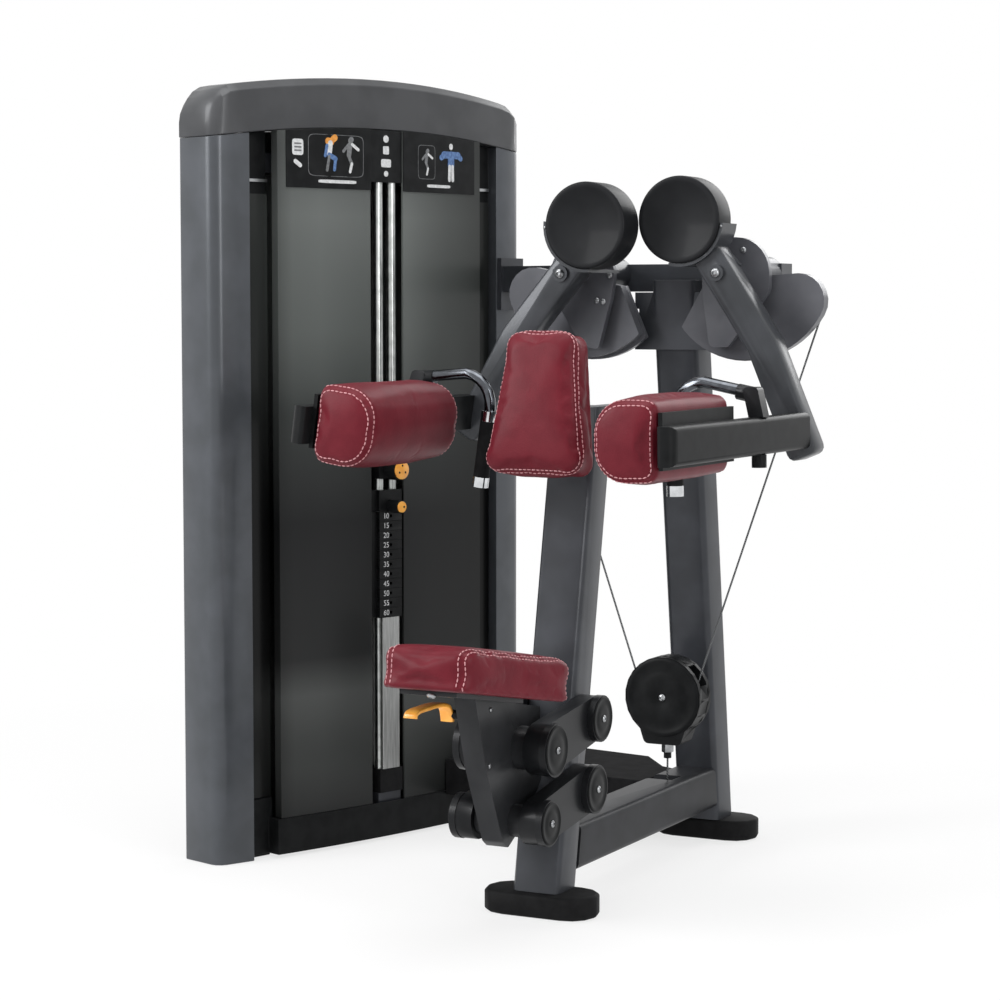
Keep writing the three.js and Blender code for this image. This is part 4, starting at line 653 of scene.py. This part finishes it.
def stitched(name, rows, body, keep, length=0.0074, thickness=0.0012):
    """Rows of stitches: each is a short bead, fattest at its middle, laid along the line and half sunk in."""
    sides, rings = 6, 5
    share = np.linspace(-1, 1, rings)[:, None, None]
    girth = thickness * np.sqrt(np.clip(1 - share**4, 0.04, 1))
    circle = round_section(1.0, sides)
    points, faces = [], []
    for places, normals in rows:
        along = np.roll(places, -1, axis=0) - np.roll(places, 1, axis=0)
        along /= np.linalg.norm(along, axis=1, keepdims=True)
        chosen = keep(normals)
        places, normals, along = places[chosen, None], normals[chosen, None], along[chosen, None]
        across = np.cross(along, normals)
        around = circle[:, :1] * across + circle[:, 1:] * normals
        beads = places[:, None] + share * (length / 2) * along[:, None] + girth * around[:, None]
        for bead in beads.reshape(-1, rings * sides, 3):
            faces += grid_faces(rings, sides, len(points) * rings * sides)
            points.append(bead)
    return piece(name, np.concatenate(points), faces, THREAD, body)


def sewn(pad, name, seams, body, keep, reach=0.005, spacing=0.009):
    """Each seam is a groove in a plane, with a row of stitches on both sides of it. Keep tells by the
    surface's normals which of them are sewn."""
    for point, normal in seams:
        grooved(pad, point, normal)
    rows = [
        plane_loop(pad, point + normal * offset, normal, spacing)
        for point, normal in seams for offset in (-reach, reach)
    ]
    return stitched(name, rows, body, keep)


def build_cushions():
    """The chest pad, the seat and the two roll pads."""
    lean = math.radians(9.1)
    chest_out = np.array([0.0, -math.cos(lean), math.sin(lean)])
    chest = cushion("chest_pad", -chest_out, (1.02, 0.99, 1.01))
    seam_out = 0.019
    sewn(
        chest, "chest_pad_stitches", [(CHEST_MIDDLE + chest_out * seam_out, chest_out)], "frame",
        lambda normals: np.abs(normals @ chest_out) < 0.98,
    )
    tipped = np.array(Matrix.Rotation(math.radians(-10), 3, "X"))
    seat = cushion("seat_pad", -tipped[:, 2])
    near_half, far_half, half_length, seam_in = 0.085, 0.150, 0.159, 0.017
    splay = math.atan2(far_half - near_half, 2 * half_length)
    seams = []
    for side in (-1, 1):
        normal = tipped @ np.array([side * math.cos(splay), -math.sin(splay), 0.0])
        corner = tipped @ np.array([side * near_half, -half_length, 0.0]) + SEAT_MIDDLE
        seams.append((corner - normal * seam_in, normal))
    sewn(seat, "seat_pad_stitches", seams, "seat_carriage", lambda normals: normals @ tipped[:, 2] > -0.6)
    seam_in = 0.0135
    for name, side in SIDE.items():
        outboard = np.array([side * math.cos(REST_TURN[name]), 0.0, math.sin(REST_TURN[name])])
        pad = cushion(f"arm_pad_{name}", outboard)
        low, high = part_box(f"arm_pad_{name}")
        ends = [
            (np.array([0.0, low.y + seam_in, 0.0]), TOWARDS_USER),
            (np.array([0.0, high.y - seam_in, 0.0]), -TOWARDS_USER),
        ]
        sewn(
            pad, f"arm_pad_{name}_stitches", ends, f"arm_{name}",
            lambda normals, outboard=outboard: normals @ outboard < 0.6,
        )


# ---- dressed CAD nodes ----
def build_rigid():
    """Every rigid CAD node that keeps its shape, with its finish and the millimetres its edges are rounded.
    A name that ends in a line is there for both sides."""
    finishes = {
        FRAME_PAINT: {
            "tower_floor_plate": 0.8, "tower_top_beam": 0.8, "front_column": 1.2, "rear_upright": 2.0,
            "chest_beam": 1.2, "top_crossbar": 1.8,
        },
        BASE_PAINT_SHADED: {"base_beam": 1.2},
        ARM_PAINT_LIT: {"arm_": 1.6},
        HUB_PAINT_LIT: {"hub_plate_": 1.8, "cable_cam_": 3.0},
        LINK_PAINT: {"seat_upper_link": 2.5, "seat_lower_link": 2.5},
        PLATE_PAINT: {"seat_carriage": 3.0},
        CAP_PAINT: {"tower_cap": 2.5},
        SMOKED: {"shroud_": 0.8, "tower_back_cover": 0.8},
        BLACK: {
            "tower_base_cover": 1.2, "foot_pulley": 0.5, "top_pulley_outer": 0.5, "top_pulley_inner": 0.5,
            "base_pulley": 0.5, "pad_beam_": 1.6, "pulley_block": 3.0, "floating_sheave": 0.5,
            "increment_weight": 1.5, "selector_pin": 1.5,
        },
        MATT_COVER: {"cable_cover": 3.0},
        DARK_PANEL: {"placard_": 0.4},
        RUBBER: {"front_foot": 2.5, "rear_foot": 2.5, "hand_grip_": 1.5, "stack_bumper": 2.0},
        PLATES: {"weight_plates": 0.2, "head_plate": 1.0},
        ROD_STEEL: {"guide_rod_": 0.8},
        BRUSHED: {"stack_riser": 0.8},
        ROPE: {"transfer_cable": 0.2},
    }
    for material, nodes in finishes.items():
        for node, size in nodes.items():
            for side in SIDE if node.endswith("_") else [""]:
                dressed(node + side, material, size)
    # A pillar's set-back strip beside its shroud is black, as painted shade in the recess. A handle's collars
    # are chromed, and its clamp is painted.
    for side in SIDE:
        strip = lambda middles: np.abs((middles - TOWER_MIDDLE) @ TOWER_ALONG) < RECESS_EDGE
        dressed(f"tower_pillar_{side}", PILLAR_PAINT, 1.6, [(BLACK, strip)])
        collars = lambda middles: arm_local(side, middles)[1] < COLLAR_START
        clamp = lambda middles: arm_local(side, middles)[0] > CLAMP_START
        # A handle's tube takes the darkened chrome: a painted dark reflection
        dressed(f"handle_{side}", CHROME_DARK_REFLECTION, 1.2, [(CHROME, collars), (LINK_PAINT, clamp)])


def build_knob_faces():
    """Orange discs let into the ends of the two black knobs, with three small dimples or one."""
    for node, radius, dimples in (("increment_weight", 0.0195, 3), ("selector_pin", 0.0118, 1)):
        place = tower_point(KNOB_ALONG, -KNOB_OUT, KNOB_HEIGHT[node])
        profile = [(radius, 0.0), (radius, 0.0022), (radius * 0.93, 0.0032), (0.0005, 0.0036)]
        face = turned(profile, place + TOWER_OUT * 0.0001, TOWER_OUT, 40)
        piece(f"{node}_face", *face, ORANGE, node, slot="orange_plastic")
        for index in range(dimples):
            angle = math.radians(90 + 120 * index)
            shift = (TOWER_ALONG * math.cos(angle) + UP * math.sin(angle)) * radius * 0.5
            if dimples == 1:
                shift = TOWER_ALONG * radius * 0.35
            spot = place + shift + TOWER_OUT * 0.0033
            dimple = turned([(0.0026, 0.0), (0.0022, 0.0006), (0.0002, 0.0006)], spot, TOWER_OUT, 12)
            piece(f"{node}_dimple_{index}", *dimple, BLACK, node)


def build_counterweights():
    """Round weights: a turned disc with rolled edges and a faint step inside the rim of its face."""
    radius, edge = 0.086, 0.004
    angle = np.linspace(0, np.pi / 2, 6)
    for name, (inboard, front_y, thick) in COUNTERWEIGHTS.items():
        centre = on_arm(name, -inboard, front_y + thick, COUNTERWEIGHT_UP)
        back = [(radius - edge + edge * math.sin(a), edge - edge * math.cos(a)) for a in angle]
        rim = [(radius - edge + edge * math.cos(a), thick - edge + edge * math.sin(a)) for a in angle]
        face = [(0.074, thick), (0.0725, thick - 0.0008), (0.001, thick - 0.0008)]
        disc = piece(
            f"counterweight_{name}_disc",
            *turned([(0.001, 0.0), *back, *rim, *face], centre, TOWARDS_USER, 96), DISC_PAINT,
            f"arm_{name}", slot="counterweight_paint",
        )
        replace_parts(disc, f"counterweight_{name}")


# ---- small fittings ----
def bolt(name, centre, along, radius, height, body):
    """A domed bolt head: a short rim, then a quarter ellipse to the top, and a socket sunk in the middle."""
    angle = np.linspace(0, np.pi / 2, 7)
    rim = [(radius, 0.0), (radius, height * 0.35)]
    dome = [(radius * math.cos(a) * 0.97, height * (0.4 + 0.6 * math.sin(a))) for a in angle[:-2]]
    socket = [(radius * 0.4, height * 0.98), (radius * 0.36, height * 0.5), (radius * 0.02, height * 0.5)]
    return piece(name, *turned(rim + dome + socket, centre, along, 24), ZINC, body, slot="steel")


def dished_cap(name, centre, along, radius, body):
    """A moulded cap: a rolled rim, a shallow ring inside it and a flat boss."""
    profile = [
        (1.0, 0.0), (1.0, 1.2), (0.97, 2.2), (0.9, 2.4), (0.85, 1.2), (0.62, 1.0), (0.56, 2.0), (0.3, 2.2),
        (0.02, 2.2),
    ]
    scaled = [(radius * share, height * MM) for share, height in profile]
    return piece(name, *turned(scaled, centre, along, 48), BLACK, body, slot="black_plastic")


def build_link_caps():
    """Caps with a bolt on both ends of both seat links, on the outer faces."""
    reach, drop = 0.198, 0.030
    half_column, gap, link_thick, cap_thick = 0.0475, 0.0006, 0.033, 0.013
    outer = half_column + gap + link_thick + cap_thick
    # Each link's pivot on the column (y, z), and the radii of its ends
    pivots = {
        "seat_upper_link": (0.066, 0.364, 0.044, 0.049),
        "seat_lower_link": (0.043, 0.234, 0.046, 0.042),
    }
    for link, (y, z, column_cap, carriage_cap) in pivots.items():
        for side, word in ((1, "right"), (-1, "left")):
            ends = ((y, z, column_cap, "column"), (y - reach, z - drop, carriage_cap, "carriage"))
            for end_y, end_z, radius, end in ends:
                centre = np.array([side * (outer + 0.0002), end_y, end_z])
                along = np.array([side, 0.0, 0.0])
                dished_cap(f"{link}_{end}_cap_{word}", centre, along, radius * 0.93, link)
                bolt(f"{link}_{end}_bolt_{word}", centre + along * 0.0022, along, 0.0065, 0.004, link)


def build_arm_bolts():
    """Pivot bolts on the arms, bolts on the hub plates and screws that hold the counterweights."""
    arm_face, hub_face = 0.423, 0.5298
    hub_bolts = {
        "right": [(0.018, 0.046)],
        "left": [(0.018, 0.046), (-0.041, -0.049), (-0.055, -0.049), (-0.062, 0.006)],
    }
    for name, (inboard, front_y, _) in COUNTERWEIGHTS.items():
        body = f"arm_{name}"
        pivot = on_arm(name, 0.0, arm_face, 0.0)
        bolt(f"pivot_bolt_{name}", pivot, TOWARDS_USER, 0.0095, 0.007, body)
        for index, (out, up) in enumerate(hub_bolts[name]):
            place = on_arm(name, out, hub_face, up)
            bolt(f"hub_bolt_{name}_{index}", place, TOWARDS_USER, 0.006, 0.004, body)
        end = on_arm(name, -inboard + 0.0882, front_y + 0.0059, COUNTERWEIGHT_UP - 0.0156)
        bolt(f"cradle_bolt_{name}", end, TOWARDS_USER, 0.0026, 0.002, body)


def build_pulley_covers():
    """Dished covers and an axle bolt on both faces of the floating pulley's housing, and its stem's nut."""
    half_depth = 0.029
    profile = [
        (0.0815, 0.0), (0.0815, 0.0012), (0.079, 0.0026), (0.073, 0.0026), (0.070, 0.0012),
        (0.052, 0.0010), (0.048, 0.0022), (0.020, 0.0026), (0.016, 0.0012), (0.001, 0.0012),
    ]
    for side, word in ((-1, "front"), (1, "back")):
        along = np.array([0.0, side, 0.0])
        centre = FLOAT_CENTRE + along * (half_depth + 0.0002)
        cover = turned(profile, centre, along, 64)
        piece(f"pulley_cover_{word}", *cover, BLACK, "pulley_block", slot="black_plastic")
        bolt(f"pulley_axle_bolt_{word}", centre + along * 0.0012, along, 0.0075, 0.005, "pulley_block")
    nut = [(0.0095, 0.0), (0.0125, 0.0015), (0.0125, 0.0185), (0.0095, 0.020)]
    under = np.array([0.0, FLOAT_CENTRE[1], 0.2115])
    piece("pulley_stem_nut", *turned(nut, under, UP, 6), ZINC, "pulley_block", smooth=False, slot="steel")


def build_seat_bolts():
    """Screws on the carriage's right side and one under the front of the seat."""
    for index, (y, z) in enumerate([(-0.256, 0.319), (-0.135, 0.321), (-0.251, 0.420)]):
        place = np.array([0.0212, y, z])
        bolt(f"carriage_screw_{index}", place, [1, 0, 0], 0.0042, 0.0025, "seat_carriage")
    bolt("seat_screw", np.array([0.006, -0.444, 0.4705]), [0, -0.5, -0.866], 0.008, 0.005, "seat_carriage")


def build_recesses():
    """Beside each shroud: a smoked panel set back from the front, darkened by painted shade, with a small
    bright bar above it.
    """
    back = 0.0136
    for side, word in ((-1, "left"), (1, "right")):
        for name, low, high, thickness, material in (
            ("panel", 0.124, 1.362, 0.004, SMOKED_RECESS_SHADED), ("bar", 1.386, 1.392, 0.006, ZINC),
        ):
            near, far = side * 0.2885, side * 0.3465
            outline = [(near, low), (far, low), (far, high), (near, high)]
            flat_patch(f"recess_{name}_{word}", outline, back, thickness, material)


def build_lever():
    """The seat lever: a flat nylon blade along an arched path, with both ends curled down."""
    bends = [
        (-0.424, 0.424), (-0.423, 0.431), (-0.410, 0.435), (-0.380, 0.435), (-0.345, 0.436),
        (-0.312, 0.434), (-0.295, 0.426), (-0.290, 0.412), (-0.288, 0.400),
    ]
    blade_x, shaft_end = -0.046, np.array([-0.052, -0.285, 0.412])
    blade = swept(smooth_path([(blade_x, y, z) for y, z in bends]), oval_section(0.0042, 0.013))
    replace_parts(piece("seat_lever_blade", *blade, ORANGE, "seat_lever", slot="orange_plastic"), "seat_lever")
    shaft = turned([(0.009, 0.0), (0.009, 0.030)], shaft_end, [1, 0, 0], 20)
    piece("seat_lever_shaft", *shaft, BLACK, "seat_lever", slot="black_plastic")


# ---- cables ----
def rope_run(name, start, end, body, rings=40):
    """A straight cable: circles square to the line between two points."""
    _, first, second = directions(end - start)
    ring = round_section(CABLE_RADIUS) @ [first, second]
    run = start + np.linspace(0, 1, rings)[:, None] * (end - start)
    return piece(name, run[:, None] + ring, grid_faces(rings, len(ring)), ROPE, body, slot="steel")


def rope_arc(name, centre, radius, side, angles, body):
    """A cable round a wheel: its path is a circle's arc in the wheel's plane."""
    around = np.stack([side * np.cos(angles), np.zeros_like(angles), np.sin(angles)], axis=1)
    section = round_section(CABLE_RADIUS)
    piece(name, *swept(centre + radius * around, section), ROPE, body, slot="steel")


def build_cables():
    """Arm cables: a straight run, the wrap round the floating pulley, and the end on the cam. Then the cable
    under the block and the one over the stack."""
    for name, side in SIDE.items():
        touch = np.array([side * math.cos(TANGENT), 0.0, math.sin(TANGENT)])
        cam_middle = np.array([side * PIVOT[0], FLOAT_CENTRE[1], PIVOT[2]])
        top, bottom = cam_middle + touch * CAM_RADIUS, FLOAT_CENTRE + touch * FLOAT_RADIUS
        straight = rope_run(f"arm_cable_run_{name}", top, bottom, "frame", 24)
        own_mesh(straight)
        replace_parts(straight, f"arm_cable_{name}")
        under = np.linspace(TANGENT, -np.pi / 2 + 0.02, 24)
        rope_arc(f"arm_cable_wrap_{name}", FLOAT_CENTRE, FLOAT_RADIUS, side, under, "pulley_block")
        anchored = np.linspace(CAM_ANCHOR, TANGENT, 6)
        rope_arc(f"arm_cable_end_{name}", cam_middle, CAM_RADIUS, side, anchored, f"arm_{name}")
    low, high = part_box("block_cable")
    start, end = (np.array([0.0, FLOAT_CENTRE[1], z]) for z in (low.z, high.z))
    block = rope_run("block_cable_run", start, end, None)
    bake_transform(block)
    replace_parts(block, "block_cable")
    low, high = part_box("stack_cable")
    start, end = (np.array([(low.x + high.x) / 2, (low.y + high.y) / 2, z]) for z in (low.z, high.z))
    stack = rope_run("stack_cable_run", start, end, "frame")
    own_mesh(stack)
    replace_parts(stack, "stack_cable")


# ---- placards ----
def patch(name, outline, proud, thickness, material):
    """A thin flat shape on the tower's front: its outline in (x, z) follows the bow and has a wall."""
    points = [on_tower(outline, proud), on_tower(outline, proud + thickness)]
    return piece(name, points, grid_faces(2, len(outline)), material, "frame", smooth=False)


def flat_patch(name, outline, back, thickness, material):
    """A flat plate parallel to the tower's chord, from a depth behind it towards the front."""
    x, z = np.array(outline).T
    points = [tower_point(x, y, z) for y in (back, back - thickness)]
    return piece(name, points, grid_faces(2, len(outline)), material, "frame", smooth=False)


def rounded_box(x, z, half_width, half_height, power=0.35):
    """The outline of a rounded rectangle on the placard."""
    return oval_section(half_width, half_height, power, 32) + np.array([x, z])


def limb(x0, z0, x1, z1, half):
    """The outline of a bar between two points, with a half circle round each end."""
    sweep = math.atan2(z1 - z0, x1 - x0) + np.linspace(-np.pi / 2, np.pi / 2, 8)
    cap = half * np.stack([np.cos(sweep), np.sin(sweep)], axis=1)
    return np.concatenate([cap + [x1, z1], [x0, z0] - cap])


def build_placards():
    """A generic exercise diagram in the photograph's colours: an icon, figures and bars where lines stand.
    The figures are plain, of round-ended bars."""
    proud = PLACARD_FACE + 0.0002
    # name, x, z, half width, half height, power, lift, thickness, ink
    boxes = [
        ("icon_card", -0.239, 1.458, 0.014, 0.0165, 0.35, 0.0, 0.0003, WHITE_INK),
        ("icon_line_0", -0.239, 1.465, 0.009, 0.0016, 0.35, 0.0004, 0.0002, GREY_INK),
        ("icon_line_1", -0.239, 1.458, 0.009, 0.0016, 0.35, 0.0004, 0.0002, GREY_INK),
        ("icon_line_2", -0.239, 1.451, 0.009, 0.0016, 0.35, 0.0004, 0.0002, GREY_INK),
        ("diagram_frame", -0.140, 1.4435, 0.073, 0.043, 0.2, -0.0001, 0.0002, GREY_INK),
        ("diagram_field", -0.140, 1.4435, 0.0718, 0.0418, 0.2, 0.00012, 0.0001, DARK_PANEL),
        ("title_bar_left", -0.137, 1.3905, 0.050, 0.0034, 0.35, 0.0, 0.0003, WHITE_INK),
        ("muscle_frame", 0.115, 1.440, 0.026, 0.036, 0.25, -0.0001, 0.0002, GREY_INK),
        ("muscle_field", 0.115, 1.440, 0.025, 0.035, 0.25, 0.00012, 0.0001, DARK_PANEL),
        ("title_bar_right", 0.152, 1.390, 0.036, 0.0032, 0.35, 0.0, 0.0003, WHITE_INK),
    ]
    for name, x, z, half_width, half_height, power, lift, thickness, ink in boxes:
        patch(name, rounded_box(x, z, half_width, half_height, power), proud + lift, thickness, ink)
    patch("icon_mark", limb(-0.245, 1.429, -0.233, 1.421, 0.0045), proud, 0.0003, WHITE_INK)
    # Bars from (x0, z0) to (x1, z1), their half width and ink, in figure heights
    seated = [
        (-0.16, 0.36, -0.05, 0.34, 0.10, ORANGE_INK), (0.02, 0.42, 0.08, 0.46, 0.095, ORANGE_INK),
        (-0.08, 0.30, -0.12, 0.02, 0.085, WHITE_INK), (-0.20, 0.24, -0.26, -0.04, 0.05, BLUE_INK),
        (-0.12, -0.02, 0.10, -0.12, 0.07, BLUE_INK), (0.10, -0.12, 0.06, -0.42, 0.05, BLUE_INK),
        (-0.12, -0.06, -0.20, -0.44, 0.045, GREY_INK),
    ]
    standing = [
        (0.02, 0.40, 0.05, 0.43, 0.085, GREY_INK), (0.0, 0.28, -0.04, 0.0, 0.08, GREY_INK),
        (0.08, 0.30, 0.30, 0.16, 0.045, WHITE_INK), (-0.06, 0.28, -0.24, 0.10, 0.045, GREY_INK),
        (-0.04, -0.04, 0.06, -0.24, 0.055, GREY_INK), (0.06, -0.24, 0.0, -0.46, 0.045, WHITE_INK),
    ]
    facing = [
        (0.0, 0.44, 0.0, 0.47, 0.075, WHITE_INK), (-0.30, 0.22, 0.30, 0.22, 0.10, BLUE_INK),
        (-0.30, 0.20, -0.40, 0.14, 0.08, BLUE_INK), (0.30, 0.20, 0.40, 0.14, 0.08, BLUE_INK),
        (0.0, 0.20, 0.0, -0.06, 0.13, BLUE_INK), (-0.06, -0.10, -0.07, -0.48, 0.055, WHITE_INK),
        (0.06, -0.10, 0.07, -0.48, 0.055, WHITE_INK),
    ]
    figures = [
        ("figure_start", -0.150, 1.446, 0.074, seated), ("figure_end", -0.104, 1.446, 0.074, standing),
        ("figure_side", 0.115, 1.440, 0.056, standing), ("figure_facing", 0.190, 1.441, 0.076, facing),
    ]
    for name, x, z, size, bars in figures:
        for index, (x0, z0, x1, z1, half, ink) in enumerate(bars):
            bar = limb(x + x0 * size, z + z0 * size, x + x1 * size, z + z1 * size, half * size)
            patch(f"{name}_{index}", bar, proud + 0.0004 + index * 0.00002, 0.0003, ink)


def build_centre_strip():
    """The dark strip at the top of the slot, with plain marks."""
    bottom = 1.3935
    x = np.linspace(-0.0445, 0.0445, 8)
    top = ARCH_TOP - 0.0010 - ARCH_DROP * (x / TOWER_HALF) ** 2
    outline = np.concatenate([np.stack([x, top], 1), np.stack([x[::-1], np.full_like(x, bottom)], 1)])
    patch("centre_strip", outline, 0.0005, 0.002, DARK_PANEL)
    marks = [
        (1.484, 0.0075, 0.0075, 0.9), (1.4605, 0.0085, 0.0085, 0.3), (1.4335, 0.014, 0.0085, 0.3),
        (1.4115, 0.006, 0.006, 0.9),
    ]
    for index, (z, half_width, half_height, power) in enumerate(marks):
        shape = rounded_box(0.0, z, half_width, half_height, power)
        patch(f"centre_mark_{index}", shape, 0.0027, 0.0003, WHITE_INK)


def build_plate_numbers():
    """Plain numbers down the noses of the weight plates, beside the pin holes."""
    first, pitch, count, nose = 0.475, 0.0206, 11, 0.036
    for index in range(count):
        height = first + (count - 1 - index) * pitch + 0.010
        name = f"plate_number_{index}"
        label = bpy.data.curves.new(name, "FONT")
        label.body = str(5 * (index + 2))
        label.size = 0.0165
        label.extrude = 0.00015
        label.align_x = label.align_y = "CENTER"
        holder = placed(name, label)
        mesh = applied(holder)
        bpy.data.objects.remove(holder)
        turn = np.eye(4)
        corner = tower_point(-0.004, -nose - 0.0002, height)
        turn[:3] = np.stack([TOWER_ALONG, UP, TOWER_OUT, corner], axis=1)
        mesh.transform(Matrix(turn.tolist()))
        mesh.name = name
        mesh.materials.clear()
        mesh.materials.append(WHITE_INK)
        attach(placed(name, mesh), "frame")


# ---- studio ----
def build_camera():
    """Where the photograph was taken: 27 degrees round to the user's right, looking 4.3 degrees down."""
    data = bpy.data.cameras.new("camera")
    data.sensor_width = 36
    data.lens = 93.6
    data.clip_end = 60
    camera = placed("camera", data)
    camera.location = (2.115, -4.324, 1.138)
    turn, dip = math.radians(27.0), math.radians(4.3)
    aim = Matrix.Rotation(turn, 3, "Z") @ Matrix.Rotation(math.pi / 2 - dip, 3, "X")
    camera.rotation_euler = aim.to_euler()
    scene.camera = camera


def softbox(name, place, width, height, power):
    """A large rectangular lamp that faces the machine's middle."""
    data = bpy.data.lights.new(name, "AREA")
    data.shape, data.size, data.size_y, data.energy = "RECTANGLE", width, height, power
    lamp = placed(name, data)
    lamp.location = place
    lamp.rotation_euler = (Vector(MACHINE_MIDDLE) - Vector(place)).to_track_quat("-Z", "Y").to_euler()


def shown(tree):
    """One for rays from the camera, off gloss and through glass, and nought for those that light things."""
    rays = add_node(tree, "LightPath")
    most = rays.outputs["Is Camera Ray"]
    for kind in ("Is Glossy Ray", "Is Transmission Ray"):
        most = add_node(tree, "Math", {0: most, 1: rays.outputs[kind]}, operation="MAXIMUM").outputs["Value"]
    return most


def build_studio():
    """A pale floor that turns to plain white away from the object, a white surround and soft lamps."""
    white = (1, 1, 1, 1)
    world = bpy.data.worlds.new("surround")
    scene.world = world
    world.use_nodes = True
    tree = world.node_tree
    tree.nodes.clear()
    strength = add_node(tree, "MapRange", {"Value": shown(tree), "To Min": 0.45, "To Max": 1.0})
    light = add_node(tree, "Background", {"Color": white, "Strength": strength.outputs["Result"]})
    add_node(tree, "OutputWorld", {"Surface": light.outputs["Background"]})

    size, level = 14.0, -0.001
    mesh = bpy.data.meshes.new("floor")
    corners = [(x, y, level) for x, y in ((-size, -size), (size, -size), (size, size), (-size, size))]
    mesh.from_pydata(corners, [], [(0, 1, 2, 3)])
    material, tree, shader, place = surface("studio_floor", Base_Color=colour("#eeeeee"), Roughness=0.9)
    centred = add_node(tree, "Mapping", {"Vector": place, "Location": (0.2, -0.4, 0.0)})
    distance = add_node(tree, "VectorMath", {0: centred.outputs["Vector"]}, operation="LENGTH")
    far = add_node(
        tree, "MapRange",
        {"Value": distance.outputs["Value"], "From Min": 0.9, "From Max": 2.6, "To Min": 0.72, "To Max": 1.0},
    )
    share = add_node(tree, "Math", {0: far.outputs["Result"], 1: shown(tree)}, operation="MULTIPLY")
    glow = add_node(tree, "Emission", {"Color": white, "Strength": 1.0})
    both = add_node(
        tree, "MixShader",
        {0: share.outputs["Value"], 1: shader.outputs["BSDF"], 2: glow.outputs["Emission"]},
    )
    tree.links.new(both.outputs["Shader"], tree.nodes["Material Output"].inputs["Surface"])
    mesh.materials.append(material)
    placed("floor", mesh)

    softbox("key", (-3.4, -3.4, 3.0), 2.2, 2.6, 190)
    softbox("side", (3.8, -1.6, 2.2), 1.0, 2.4, 55)
    softbox("top", (0.0, -0.4, 4.2), 3.0, 3.0, 90)
    softbox("back", (0.5, 4.0, 2.6), 2.4, 2.0, 50)


build_rigid()
build_knob_faces()
build_counterweights()
build_link_caps()
build_arm_bolts()
build_pulley_covers()
build_lever()
build_seat_bolts()
build_recesses()
build_cables()
build_placards()
build_centre_strip()
build_plate_numbers()
build_cushions()
build_camera()
build_studio()
scene.view_settings.view_transform = "Standard"
